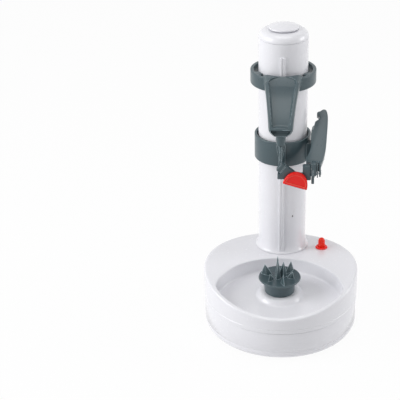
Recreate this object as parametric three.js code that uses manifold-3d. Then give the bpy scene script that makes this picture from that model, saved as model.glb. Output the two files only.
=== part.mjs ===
// Electric fruit peeler, battery driven, in millimetres.
// +X is to the right, +Y is away from the tray, +Z is up. The origin is the middle of the base, on the table.
// A motor in the base turns the food holder and the lead screw through one gear train. The lead screw
// carries the peel carriage down the column while the fruit turns under the blade.
import * as THREE from 'three';
import { mergeVertices } from 'three/addons/utils/BufferGeometryUtils.js';
import Module from 'manifold-3d';

const wasm = await Module();
wasm.setup();

// Clearances and general values
const fit = 0.3;
const overrun = 1;
const weld = 0.0001;
const wall = 2.4;

// Base shells
const baseRadius = 76;
const panStep = 0.5;
const footHeight = 2;
const footRadius = 6;
const seamHeight = 32;
const panFloor = 2.5;
const panCorner = 8;
const lipDepth = 3;
const rimFront = 47.6;
const rimPeak = 64.5;
const rimBack = 60;
const rimPeakShare = 0.13;

// Tray in the front of the base, and the cone under the food holder
const trayRadius = 65;
const trayBack = 13.4;
const trayLip = 4;
const trayFloorFront = 45.2;
const trayFloorBack = 50.5;
const coneRadius = 22.8;
const coneTopRadius = 17;
const coneHeight = 7.5;

// Column
const columnY = 47.5;
const columnRadius = 23.8;
const columnWall = 2.2;
const columnTop = 286;
const columnSink = 5;
const flareRadius = 27;
const flareHeight = 13;
const ribWidth = 5;
const ribStand = 1.5;
const ribTop = 273.5;
const slotWidth = 8;
const capHeight = 7.5;
const capShoulder = 5;
const plugRadius = 15.6;
const plugStem = 9;
const plugThickness = 1.6;
const plugDome = 2.4;
const plugGap = 1;

// Gear train
const toothSize = 1.5;
const spindleTeeth = 26;
const idlerTeeth = 24;
const wheelTeeth = 32;
const stepTeeth = 10;
const reductionTeeth = 26;
const pinionTeeth = 8;
const gearWidth = 4.5;
const gearGap = 2;
const stepBearing = Math.PI * 5 / 6;
const motorBearing = Math.PI * 19 / 18;
const pinRadius = 2;
const frameRoom = 2.7;
const frameThickness = 2.5;
const framePad = 9;
const postRadius = 4;

// Motor, cells and board
const motorRadius = 12;
const motorHeight = 30;
const motorShaftRadius = 1.2;
const cradleWall = 2;
const cradleHeight = 9;
const cellRadius = 7.1;
const cellLength = 50;
const cellNipple = 2.6;
const cellNippleLength = 1;
const cellCount = 4;
const cellPitch = 15;
const contactRoom = 4.8;
const contactThickness = 0.8;
const doorThickness = 2;
const doorLip = 2.5;
const boardWidth = 22;
const boardDepth = 34;
const boardThickness = 1.6;
const chipWidth = 7;
const chipHeight = 2.2;
const canRadius = 3;
const canHeight = 7;
const leadRadius = 0.9;
const leadSides = 6;
const leadSteps = 16;

// Spindle and food holder
const spindleY = -27.5;
const spindleRadius = 3;
const bushWall = 1.8;
const sealHeight = 2;
const holderRadius = 20.5;
const holderDisc = 2.2;
const holderLift = 1.2;
const cupRadius = 14.5;
const cupHeight = 9;
const cupFoot = 12;
const spikeCount = 3;
const spikeRing = 3.4;
const spikeHeight = 21;
const spikeRadius = 2.6;
const bladeCount = 6;
const bladeRing = 13;
const bladeHeight = 11;
const bladeWidth = 7.5;
const bladeThickness = 1.8;

// Start button
const buttonX = 40.6;
const buttonY = 38.4;
const buttonRadius = 3.4;
const buttonHeight = 9.5;
const buttonTravel = 1.5;
const buttonStem = 8;
const buttonSpring = 4;
const plungerRadius = 1.6;
const springWall = 0.7;
const collarRadius = 6.2;
const collarHeight = 1.6;
const switchWidth = 8;
const switchHeight = 7;
const limitSwitchWidth = 6;
const limitSwitchRise = 4;

// Lead screw and its nut
const screwRadius = 4;
const screwTurn = 4.5;
const screwTopGap = 5;
const nutRadius = 8;
const nutHeight = 14;

// Peel carriage and its travel
const carriageRadius = 27.6;
const carriageWall = 2.4;
const carriageBottom = 163;
const carriageHeight = 24.8;
const carriageTravel = 80;
const noseWidth = 6.4;
const noseStand = 1.6;
const earThickness = 8;
const earRadius = 5.2;
const lugStand = 0.9;
const pivotX = 36;
const pivotY = 38;

// Peel arm: a crescent plate that leans back
const armLean = THREE.MathUtils.degToRad(41.7);
const armLength = 72;
const armSpan = 20;
const armThickness = 9;
const barrelRadius = 4.6;
const cheekThickness = 2;
const cheekGap = 4;
const cheekHeight = 21;
const cheekDepth = 9;
const armSpringHeight = 5;
const headPinRadius = 1.2;

// Blade head, hung from the foot of the arm
const headPinY = 2.5;
const headPinLift = 3;
const armFootInset = 7.7;
const armFootBack = 1.5;
const armFootDrop = 9.5;
const headPinZ = carriageBottom + headPinLift;
const armFootX = pivotX - armFootInset;
const armFootY = headPinY + armFootBack;
const armFootZ = headPinZ - armFootDrop;
const headBlock = 8;
const headBlockHeight = 15;
const headDepth = 6.5;
const headReach = 24;
const headBarHeight = 6;
const headBarDepth = 5;
const wedgeLength = 17;
const wedgeHeight = 9;
const wedgeTilt = 38;
const wedgeInset = 23.8;
const wedgeLift = 1;
const wedgeX = armFootX - wedgeInset;
const wedgeZ = headPinZ + wedgeLift;
const cartridgeWidth = 24;
const cartridgeHeight = 15;
const cartridgeThickness = 4;
const cartridgeTilt = 16;
const cartridgeInset = 15.3;
const cartridgeDrop = 12.4;
const cartridgeX = armFootX - cartridgeInset;
const cartridgeZ = headPinZ - cartridgeDrop;
const bladeStrip = 18;
const bladeStripHeight = 3;
const bladeStripThickness = 0.8;
const bladeShow = 1.2;

// Food arm
const collarOuter = 31.6;
const collarWall = 3.4;
const collarBottom = 241.4;
const collarTall = 13;
const guideCount = 3;
const guideWidth = 8;
const guideTurn = 90;
const troughRootWidth = 38;
const troughTipWidth = 21.5;
const troughRootDepth = 18;
const troughTipDepth = 9;
const troughWall = 2.6;
const troughRise = 6.5;
const troughReach = 10;
const troughTipZ = 222;
const troughSteps = 10;
const socketRadius = 4.6;
const socketBottom = 208;
const socketHeight = 18;
const prongTip = 189;
const prongHead = 4.4;
const prongVane = 1.6;
const prongGap = 0.8;
const axleRadius = 1.5;
const axleReach = 14;

// Facets round each kind of curve
const roundBase = 56;
const roundTube = 36;
const roundMid = 20;
const roundSmall = 12;
const roundTiny = 8;
const archSteps = 8;
const cornerSteps = 4;
const flareSteps = 5;
const domeSteps = 3;
const endSteps = 12;

// Finishes
const white = new THREE.MeshStandardMaterial({ name: 'white_plastic', color: 0xf0eff3, roughness: 0.35 });
const slate = new THREE.MeshStandardMaterial({ name: 'slate_plastic', color: 0x5a676d, roughness: 0.45 });
const red = new THREE.MeshStandardMaterial({ name: 'red_plastic', color: 0xd9281a, roughness: 0.35 });
const metal = { roughness: 0.3, metalness: 1 };
const steel = new THREE.MeshStandardMaterial({ name: 'steel', color: 0xc4c7ca, ...metal });
const brass = new THREE.MeshStandardMaterial({ name: 'brass', color: 0xb8923f, ...metal });
const rubber = new THREE.MeshStandardMaterial({ name: 'rubber', color: 0x3a3c40, roughness: 0.8 });
const nylon = new THREE.MeshStandardMaterial({ name: 'gear_plastic', color: 0xe4ddc8, roughness: 0.5 });
const jacket = new THREE.MeshStandardMaterial({ name: 'cell_jacket', color: 0x2f5d50, roughness: 0.4 });
const laminate = new THREE.MeshStandardMaterial({ name: 'board', color: 0x2d6a3a, roughness: 0.5 });

const peeler = new THREE.Group();

// Makes a boolean solid from a closed three.js geometry, turned the right way out.
function solid(geometry) {
  const bare = geometry.clone();
  bare.deleteAttribute('normal');
  bare.deleteAttribute('uv');
  const merged = mergeVertices(bare, weld);
  const places = merged.attributes.position.array;
  const corners = merged.index.array;
  const kept = [];
  let volume = 0;
  for (let i = 0; i < corners.length; i += 3) {
    const [a, b, c] = [corners[i], corners[i + 1], corners[i + 2]];
    if (a === b || b === c || c === a) continue;
    kept.push([a, b, c]);
    const [p, q, r] = [a, b, c].map((k) => new THREE.Vector3().fromArray(places, 3 * k));
    volume += p.dot(q.cross(r));
  }
  const order = volume < 0 ? kept.map(([a, b, c]) => [a, c, b]) : kept;
  const vertProperties = new Float32Array(places);
  const triVerts = new Uint32Array(order.flat());
  return new wasm.Manifold(new wasm.Mesh({ numProp: 3, vertProperties, triVerts }));
}

// Adds a named mesh for a boolean solid.
function add(name, body, material) {
  const { vertProperties, triVerts } = body.getMesh();
  const geometry = new THREE.BufferGeometry();
  geometry.setAttribute('position', new THREE.BufferAttribute(new Float32Array(vertProperties), 3));
  geometry.setIndex(new THREE.BufferAttribute(new Uint32Array(triVerts), 1));
  geometry.computeVertexNormals();
  const mesh = new THREE.Mesh(geometry, material.clone());
  mesh.name = name;
  peeler.add(mesh);
}

const join = (...bodies) => bodies.reduce((all, body) => all.add(body));

// Upright cylinder or cone between two heights.
function post(x, y, bottom, top, radius, facets = roundMid, topRadius = radius) {
  const geometry = new THREE.CylinderGeometry(topRadius, radius, top - bottom, facets);
  geometry.rotateX(Math.PI / 2);
  geometry.translate(x, y, (bottom + top) / 2);
  return solid(geometry);
}

// Upright ring between two heights.
function ring(x, y, bottom, top, outer, inner, facets = roundMid) {
  const hole = post(x, y, bottom - overrun, top + overrun, inner, facets);
  return post(x, y, bottom, top, outer, facets).subtract(hole);
}

// Cylinder lying along X or Y.
function bar(axis, from, to, b, z, radius, facets = roundSmall) {
  const geometry = new THREE.CylinderGeometry(radius, radius, to - from, facets);
  const middle = (from + to) / 2;
  if (axis === 'x') {
    geometry.rotateZ(-Math.PI / 2);
    geometry.translate(middle, b, z);
  } else {
    geometry.translate(b, middle, z);
  }
  return solid(geometry);
}

// Box between two corners.
function block(x0, x1, y0, y1, z0, z1) {
  const geometry = new THREE.BoxGeometry(x1 - x0, y1 - y0, z1 - z0);
  geometry.translate((x0 + x1) / 2, (y0 + y1) / 2, (z0 + z1) / 2);
  return solid(geometry);
}

// Box centred on a point of the plan.
const slab = (x, y, width, depth, bottom, top) =>
  block(x - width / 2, x + width / 2, y - depth / 2, y + depth / 2, bottom, top);

// Turned body: a closed profile of [radius, height] points.
function turned(x, y, profile, facets = roundMid) {
  const points = profile.map(([radius, height]) => new THREE.Vector2(radius, height));
  const geometry = new THREE.LatheGeometry([...points, points[0]], facets);
  geometry.rotateX(Math.PI / 2);
  geometry.translate(x, y, 0);
  return solid(geometry);
}

// Outline in plan, raised between two heights.
function prism(points, bottom, top) {
  const shape = new THREE.Shape(points.map(([x, y]) => new THREE.Vector2(x, y)));
  const geometry = new THREE.ExtrudeGeometry(shape, { depth: top - bottom, bevelEnabled: false });
  geometry.translate(0, 0, bottom);
  return solid(geometry);
}

// Outline of [y, z] points, drawn out along X.
function alongX(points, from, to) {
  const shape = new THREE.Shape(points.map(([y, z]) => new THREE.Vector2(y, z)));
  const geometry = new THREE.ExtrudeGeometry(shape, { depth: to - from, bevelEnabled: false });
  const axes = [new THREE.Vector3(0, 1, 0), new THREE.Vector3(0, 0, 1), new THREE.Vector3(1, 0, 0)];
  geometry.applyMatrix4(new THREE.Matrix4().makeBasis(...axes));
  geometry.translate(from, 0, 0);
  return solid(geometry);
}

// Outline of [x, z] points, drawn out along Y.
function alongY(points, from, to) {
  const shape = new THREE.Shape(points.map(([x, z]) => new THREE.Vector2(x, z)));
  const geometry = new THREE.ExtrudeGeometry(shape, { depth: to - from, bevelEnabled: false });
  const axes = [new THREE.Vector3(1, 0, 0), new THREE.Vector3(0, 0, 1), new THREE.Vector3(0, -1, 0)];
  geometry.applyMatrix4(new THREE.Matrix4().makeBasis(...axes));
  geometry.translate(0, to, 0);
  return solid(geometry);
}

// Skin over a row of closed sections, each with the points of one flat outline that runs anticlockwise.
function loft(sections, outline) {
  const count = sections[0].length;
  const places = sections.flat().flatMap((point) => point.toArray());
  const faces = [];
  for (let s = 0; s + 1 < sections.length; s += 1) {
    for (let i = 0; i < count; i += 1) {
      const [a, b] = [s * count + i, s * count + (i + 1) % count];
      faces.push(a, b, b + count, a, b + count, a + count);
    }
  }
  const last = (sections.length - 1) * count;
  for (const [a, b, c] of THREE.ShapeUtils.triangulateShape(outline, [])) {
    faces.push(c, b, a, last + a, last + b, last + c);
  }
  const geometry = new THREE.BufferGeometry();
  geometry.setAttribute('position', new THREE.BufferAttribute(new Float32Array(places), 3));
  geometry.setIndex(faces);
  return solid(geometry);
}

const polar = (radius, angle) => [radius * Math.cos(angle), radius * Math.sin(angle)];

// Points of an arc round a middle, from one angle to another.
const arc = (x, y, radius, from, to, steps) => Array.from({ length: steps + 1 }, (_, i) => {
  const [dx, dy] = polar(radius, THREE.MathUtils.lerp(from, to, i / steps));
  return [x + dx, y + dy];
});
const quarter = Math.PI / 2;

// Heights of the base's arched top and of the tray's sloping floor at a place along Y.
const rimPeakY = baseRadius * rimPeakShare;
function rimHeight(y) {
  const front = y < rimPeakY;
  const share = Math.abs(y - rimPeakY) / (front ? baseRadius + rimPeakY : baseRadius - rimPeakY);
  return rimPeak - (rimPeak - (front ? rimFront : rimBack)) * share ** 2;
}
const trayFront = trayLip - baseRadius;
const traySlope = (trayFloorBack - trayFloorFront) / (trayBack - trayFront);
const trayHeight = (y) => trayFloorFront + traySlope * (y - trayFront);
const panRadius = baseRadius - panStep;
const panTop = footHeight + panFloor;
const frameHeight = panTop + 2 * fit + 2 * cellRadius + frameRoom;
const deckUnderside = (y) => rimHeight(y) - wall;

// Underside of the tray or of the deck, whichever is over a place.
function ceiling(x, y) {
  const underTray = Math.hypot(x, y - trayBack + trayRadius) < trayRadius;
  return underTray ? trayHeight(y - postRadius) - wall : deckUnderside(y);
}

// Everything under the arched top, from a height up, drawn out across the base.
function underArch(drop, bottom) {
  const reach = baseRadius + overrun;
  const steps = Array.from({ length: archSteps + 1 }, (_, i) => reach * (2 * i / archSteps - 1));
  const arch = steps.map((y) => [y, rimHeight(y) - drop]);
  return alongX([[-reach, bottom], [reach, bottom], ...arch.reverse()], -reach, reach);
}

// The tray's plan, shrunk or grown by a margin, between a sloping floor and the open top.
function trayRegion(margin, floorDrop, top) {
  const back = post(0, trayBack - trayRadius, 0, top, trayRadius + margin, roundBase);
  const front = post(0, 0, 0, top, baseRadius - trayLip + margin, roundBase);
  const reach = baseRadius + trayRadius;
  const floor = [-reach, reach].map((y) => [y, trayHeight(y) - floorDrop]);
  const above = alongX([floor[0], floor[1], [reach, top], [-reach, top]], -reach, reach);
  return back.intersect(front).intersect(above);
}

// Gear train: places and levels
const pitchRadius = (teeth) => toothSize * teeth / 2;
const idlerY = spindleY + pitchRadius(spindleTeeth) + pitchRadius(idlerTeeth);
const screwGearTeeth = Math.floor(weld + 2 * (columnY - idlerY - pitchRadius(idlerTeeth)) / toothSize);
const stepReach = pitchRadius(wheelTeeth) + pitchRadius(stepTeeth);
const stepX = stepReach * Math.cos(stepBearing);
const stepY = idlerY + stepReach * Math.sin(stepBearing);
const motorReach = pitchRadius(reductionTeeth) + pitchRadius(pinionTeeth);
const motorX = stepX + motorReach * Math.cos(motorBearing);
const motorY = stepY + motorReach * Math.sin(motorBearing);
const frameTop = frameHeight + frameThickness;
const lowLevel = frameTop + gearGap;
const midLevel = lowLevel + gearWidth + gearGap;
const highLevel = midLevel + gearWidth + gearGap;
const highTop = highLevel + gearWidth;
const motorTop = Math.min(panTop + fit + motorHeight, highLevel - gearGap);

// Outline of a gear with a tooth or a gap towards a bearing.
const toothRootShare = 0.27;
const toothTipShare = 0.11;
const toothDeepShare = 1.1;
const toothTallShare = 0.8;
function gearOutline(x, y, teeth, bearing, gap) {
  const step = 2 * Math.PI / teeth;
  const start = bearing + (gap ? step / 2 : 0);
  const root = pitchRadius(teeth) - toothSize * toothDeepShare;
  const tip = pitchRadius(teeth) + toothSize * toothTallShare;
  const points = [];
  for (let k = 0; k < teeth; k += 1) {
    const middle = start + k * step;
    const corners = [[root, -toothRootShare], [tip, -toothTipShare],
      [tip, toothTipShare], [root, toothRootShare]];
    for (const [radius, share] of corners) {
      const [dx, dy] = polar(radius, middle + share * step);
      points.push([x + dx, y + dy]);
    }
  }
  return points;
}
function gear(x, y, teeth, bearing, gap, level) {
  return prism(gearOutline(x, y, teeth, bearing, gap), level, level + gearWidth);
}

// Places shared by the shells
const coneTop = trayHeight(spindleY) + coneHeight;
const holderBottom = coneTop + holderLift;
const columnFoot = deckUnderside(columnY) - columnSink;
const bushOuter = spindleRadius + fit + bushWall;
const bayHalf = (cellCount * cellPitch) / 2 + wall;
const bayMiddle = spindleY + cellPitch * 3 / 4;
const bayFront = bayMiddle - cellLength / 2 - contactRoom;
const bayBack = bayMiddle + cellLength / 2 + contactRoom;
const panBossTop = seamHeight / 2;
const screwHead = 1.8;
const bossShare = 0.83;
const bossPlaces = [30, 128, 226, 314].map((degrees) =>
  polar(panRadius * bossShare, THREE.MathUtils.degToRad(degrees)));
const feetShare = 0.8;
const feetPlaces = [0, 90, 180, 270].map((degrees) =>
  polar(panRadius * feetShare, THREE.MathUtils.degToRad(degrees)));
const framePosts = [[-bayHalf - 2 * postRadius, spindleY], [bayHalf + 2 * postRadius, spindleY],
  [-framePad, bayBack + 3 * postRadius], [framePad, bayBack + 3 * postRadius]];
const boardX = bayHalf + 2 * wall + boardWidth / 2 + fit;
const boardY = 0;
const boardBottom = frameHeight / 2;
const sleeveRadius = buttonRadius + fit + wall / 2;

function makeBase() {
  const round = post(0, 0, seamHeight + fit, rimPeak + overrun, baseRadius, roundBase);
  const shell = round.intersect(underArch(0, 0));
  const hollow = post(0, 0, 0, rimPeak, baseRadius - wall, roundBase).intersect(underArch(wall, -overrun));
  const tray = trayRegion(wall, wall, rimPeak + overrun).intersect(shell);
  const coneBase = trayHeight(spindleY - coneRadius);
  const cone = post(0, spindleY, coneBase - wall, coneTop, coneRadius, roundTube, coneTopRadius);
  const ledge = ring(0, columnY, columnFoot - wall, deckUnderside(columnY) + wall / 2,
    columnRadius + fit + wall, columnRadius - columnWall - wall, roundTube);
  const bores = join(
    post(0, spindleY, 0, coneTop + overrun, bushOuter + fit, roundMid),
    post(0, columnY, columnFoot, rimPeak + overrun, columnRadius + fit, roundTube),
    post(0, columnY, 0, rimPeak, columnRadius - columnWall - wall, roundTube),
    post(buttonX, buttonY, 0, rimPeak + overrun, sleeveRadius + fit, roundSmall),
  );
  const bosses = bossPlaces.map(([x, y]) => ring(x, y, panBossTop + fit, ceiling(x, y) + wall / 2,
    postRadius, pinRadius, roundSmall));
  const open = shell.subtract(hollow).add(tray).subtract(trayRegion(0, 0, rimPeak + 2 * overrun));
  const skin = join(open, cone, ledge);
  const innerLip = ring(0, 0, seamHeight - lipDepth, seamHeight + fit + wall,
    panRadius - wall - fit, panRadius - 2 * wall, roundBase);
  const lipBridge = ring(0, 0, seamHeight + fit, seamHeight + fit + wall, baseRadius - wall / 2,
    panRadius - 2 * wall, roundBase);
  add('base_housing', join(skin, innerLip, lipBridge, ...bosses).subtract(bores), white);

  const corner = arc(panRadius - panCorner, footHeight + panCorner, panCorner, -quarter, 0, cornerSteps);
  const outline = [[0, footHeight], ...corner, [panRadius, seamHeight], [0, seamHeight]];
  const outer = turned(0, 0, outline, roundBase);
  const inside = post(0, 0, panTop, seamHeight + overrun, panRadius - wall, roundBase);
  const posts = framePosts.map(([x, y]) => join(
    post(x, y, panTop - fit, frameHeight - fit, postRadius, roundSmall),
    post(x, y, panTop, frameTop + fit, pinRadius, roundTiny)));
  const screwBosses = bossPlaces.map(([x, y]) =>
    post(x, y, panTop - fit, panBossTop, postRadius, roundSmall));
  const cradle = ring(motorX, motorY, panTop - fit, panTop + cradleHeight, motorRadius + fit + cradleWall,
    motorRadius + fit, roundMid);
  const boardRest = slab(boardX, boardY, boardWidth / 2, boardDepth / 2, panTop - fit, boardBottom - fit);
  const bay = block(-bayHalf, bayHalf, bayFront, bayBack, 0, panTop + overrun);
  const walls = [-1, 1].map((side) => slab(side * (bayHalf + wall / 2 + fit), bayMiddle, wall,
    bayBack - bayFront, panTop - fit, panTop + cellRadius));
  const ends = [bayFront - wall / 2, bayBack + wall / 2].map((y) =>
    slab(0, y, 2 * (bayHalf + wall + fit), wall, panTop - fit, panTop + 2 * cellRadius));
  const holes = bossPlaces.map(([x, y]) => post(x, y, 0, panBossTop + overrun, pinRadius + fit, roundSmall));
  const heads = bossPlaces.map(([x, y]) =>
    post(x, y, 0, footHeight + screwHead, 2 * pinRadius + fit, roundSmall));
  const pan = join(outer.subtract(inside), ...posts, ...screwBosses, cradle, boardRest, ...walls, ...ends);
  add('bottom_pan', pan.subtract(join(bay, ...holes, ...heads)), white);
}

function makeFeetAndScrews() {
  const feet = feetPlaces.map(([x, y]) => post(x, y, 0, footHeight - fit / 2, footRadius, roundSmall));
  feet.forEach((foot, k) => add(`rubber_foot_${k + 1}`, foot, rubber));
  const screws = bossPlaces.map(([x, y]) => join(
    post(x, y, footHeight + screwHead / 4, footHeight + screwHead - fit, 2 * pinRadius, roundTiny),
    post(x, y, footHeight + screwHead - 2 * fit, panBossTop + 3 * pinRadius, pinRadius - fit, roundTiny),
  ));
  screws.forEach((screw, k) => add(`housing_screw_${k + 1}`, screw, steel));
}

function makeBattery() {
  const bottom = panTop + 2 * fit;
  for (let k = 0; k < cellCount; k += 1) {
    const x = (k - (cellCount - 1) / 2) * cellPitch;
    const side = k % 2 ? 1 : -1;
    const z = bottom + cellRadius;
    const canEnd = bayMiddle + cellLength / 2 - cellNippleLength;
    const can = bar('y', bayMiddle - cellLength / 2, canEnd, x, z, cellRadius);
    const nipple = bar('y', bayMiddle, bayMiddle + cellLength / 2, x, z, cellNipple, roundTiny);
    const cell = can.add(nipple);
    const turnedCell = cell.rotate([0, 0, 180]).translate([2 * x, 2 * bayMiddle, 0]);
    add(`battery_cell_${k + 1}`, side > 0 ? cell : turnedCell, jacket);
  }
  // Contacts: at the front a single, a pair and a single, at the back two pairs, each with its spring side.
  const z = bottom + cellRadius;
  const groups = [[-1, [0]], [-1, [1, 2]], [-1, [3]], [1, [0, 1]], [1, [2, 3]]];
  groups.forEach(([side, cells], k) => {
    const wallFace = bayMiddle + side * (cellLength / 2 + contactRoom - fit);
    const plateFace = wallFace - side * contactThickness;
    const places = cells.map((c) => (c - (cellCount - 1) / 2) * cellPitch);
    const [left, right] = [places[0] - cellRadius / 2, places.at(-1) + cellRadius / 2];
    const plate = block(left, right, Math.min(wallFace, plateFace), Math.max(wallFace, plateFace),
      z - cellRadius / 2, z + cellRadius / 2);
    const springs = places.map((x) => {
      const cellEnd = bayMiddle + side * (cellLength / 2 + fit);
      const ends = [cellEnd, plateFace + side * contactThickness / 2].sort((p, q) => p - q);
      return bar('y', ends[0], ends[1], x, z, cellNipple, roundTiny);
    });
    add(`cell_contact_${k + 1}`, join(plate, ...springs), steel);
  });
  const door = block(-bayHalf + fit, bayHalf - fit, bayFront + fit, bayBack - fit, footHeight,
    footHeight + doorThickness);
  const catchTab = slab(0, bayFront + fit + doorLip / 2, cellPitch, doorLip, footHeight, panTop);
  add('battery_door', door.add(catchTab), white);
}

function makeGearTrain() {
  const pads = [[0, spindleY], [0, idlerY], [0, columnY], [stepX, stepY], ...framePosts];
  const discs = pads.map(([x, y]) => post(x, y, frameHeight, frameTop, framePad, roundSmall));
  const spine = block(-framePad, framePad, spindleY, columnY, frameHeight, frameTop);
  const cross = block(framePosts[0][0], framePosts[1][0], spindleY - framePad / 2, spindleY + framePad / 2,
    frameHeight, frameTop);
  const wing = block(stepX, 0, stepY - framePad / 2, stepY + framePad / 2, frameHeight, frameTop);
  const [under, over] = [frameHeight - overrun, frameTop + overrun];
  const pinHoles = [[0, idlerY], [stepX, stepY]].map(([x, y]) =>
    post(x, y, under, over, pinRadius + fit, roundSmall));
  const bushHoles = [post(0, spindleY, under, over, spindleRadius + fit, roundSmall),
    post(0, columnY, under, over, bushOuter + fit, roundMid)];
  const pegHoles = framePosts.map(([x, y]) => post(x, y, under, over, pinRadius + fit, roundTiny));
  const plate = join(...discs, spine, cross, wing).subtract(join(...pinHoles, ...bushHoles, ...pegHoles));
  add('gear_frame', plate, nylon);
  const pin = (x, y, top) => join(
    post(x, y, frameHeight - screwHead, frameHeight - fit, 2 * pinRadius, roundSmall),
    post(x, y, frameHeight - fit, top, pinRadius, roundSmall));
  add('idler_pin', pin(0, idlerY, midLevel + gearWidth + fit), steel);
  add('step_pin', pin(stepX, stepY, highTop + fit), steel);

  const idlerBore = post(0, idlerY, frameTop, highTop, pinRadius + fit, roundSmall);
  const idler = join(gear(0, idlerY, idlerTeeth, -quarter, false, lowLevel),
    gear(0, idlerY, wheelTeeth, stepBearing, false, midLevel),
    post(0, idlerY, frameTop + fit, midLevel + gearWidth, pinRadius * 3, roundMid));
  add('idler_gear', idler.subtract(idlerBore), nylon);

  const stepBore = post(stepX, stepY, frameTop, highTop + overrun, pinRadius + fit, roundSmall);
  const steps = join(gear(stepX, stepY, stepTeeth, stepBearing + Math.PI, true, midLevel),
    gear(stepX, stepY, reductionTeeth, motorBearing, false, highLevel),
    post(stepX, stepY, frameTop + fit, midLevel + overrun, pinRadius * 2, roundMid),
    post(stepX, stepY, midLevel + gearWidth - overrun, highLevel + overrun, pinRadius * 2, roundMid));
  add('step_gear', steps.subtract(stepBore), nylon);

  const pinion = gear(motorX, motorY, pinionTeeth, motorBearing + Math.PI, true, highLevel)
    .subtract(post(motorX, motorY, 0, highTop + overrun, motorShaftRadius + fit, roundTiny));
  add('motor_pinion', pinion, brass);
  const shaftBottom = motorTop - overrun + fit;
  add('motor_shaft', post(motorX, motorY, shaftBottom, highTop, motorShaftRadius, roundTiny), steel);
  const nose = post(motorX, motorY, motorTop - overrun, motorTop, motorShaftRadius * 3, roundSmall);
  const can = post(motorX, motorY, panTop + fit, motorTop - overrun, motorRadius, roundMid);
  const seat = post(motorX, motorY, motorTop - 2 * overrun, motorTop + overrun, motorShaftRadius + fit,
    roundTiny);
  add('motor', can.add(nose).subtract(seat), steel);
}

function makeSpindle() {
  const shaftTop = holderBottom + cupHeight / 2;
  add('spindle_shaft', post(0, spindleY, frameHeight - fit, shaftTop, spindleRadius, roundSmall), steel);
  const gearBody = join(gear(0, spindleY, spindleTeeth, quarter, true, lowLevel),
    post(0, spindleY, frameTop + fit, midLevel + gearWidth, spindleRadius * 2, roundMid));
  const gearBore = post(0, spindleY, 0, rimPeak, spindleRadius + fit, roundSmall);
  add('spindle_gear', gearBody.subtract(gearBore), nylon);
  const bushBottom = trayHeight(spindleY) - wall * 2;
  const bushTop = coneTop - sealHeight - fit;
  const bushBore = spindleRadius + fit;
  add('spindle_bush', ring(0, spindleY, bushBottom, bushTop, bushOuter, bushBore), brass);
  add('spindle_seal', ring(0, spindleY, bushTop + fit, coneTop, bushOuter, bushBore), rubber);
}

const lowBladeShare = 0.8;
const spikeStartShare = 0.25;
function makeFoodHolder() {
  const discTop = holderBottom + cupHeight + holderDisc;
  const cup = post(0, spindleY, holderBottom, holderBottom + cupHeight, cupFoot, roundTube, cupRadius);
  const disc = post(0, spindleY, holderBottom + cupHeight, discTop, holderRadius, roundTube);
  const socket = post(0, spindleY, 0, holderBottom + cupHeight / 2 + fit, spindleRadius + fit, roundSmall);
  const spikes = [];
  for (let k = 0; k < spikeCount; k += 1) {
    const [dx, dy] = polar(spikeRing, 2 * Math.PI * (k + spikeStartShare) / spikeCount);
    spikes.push(post(dx, spindleY + dy, discTop - holderDisc / 2, discTop + spikeHeight, spikeRadius,
      roundTiny, spikeRadius / 8));
  }
  for (let k = 0; k < bladeCount; k += 1) {
    const angle = 2 * Math.PI * k / bladeCount;
    const half = bladeWidth / 2;
    const tall = k % 2 ? bladeHeight : bladeHeight * lowBladeShare;
    const root = -holderDisc / 2;
    const fin = alongX([[-half, root], [half, root], [half / 2, tall], [half / 4, tall]],
      -bladeThickness / 2, bladeThickness / 2);
    const turn = THREE.MathUtils.radToDeg(angle - quarter);
    const [dx, dy] = polar(bladeRing, angle);
    spikes.push(fin.rotate([0, 0, turn]).translate([dx, spindleY + dy, discTop]));
  }
  add('food_holder', join(cup, disc, ...spikes).subtract(socket), slate);
}

const slotTop = carriageBottom + carriageHeight;
const nutBottom = carriageBottom + (carriageHeight - nutHeight) / 2;
const slotBottom = nutBottom - carriageTravel - 2 * fit;
const bushDepth = 5;
const screwBushOuter = bushOuter + screwRadius - spindleRadius;

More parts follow.
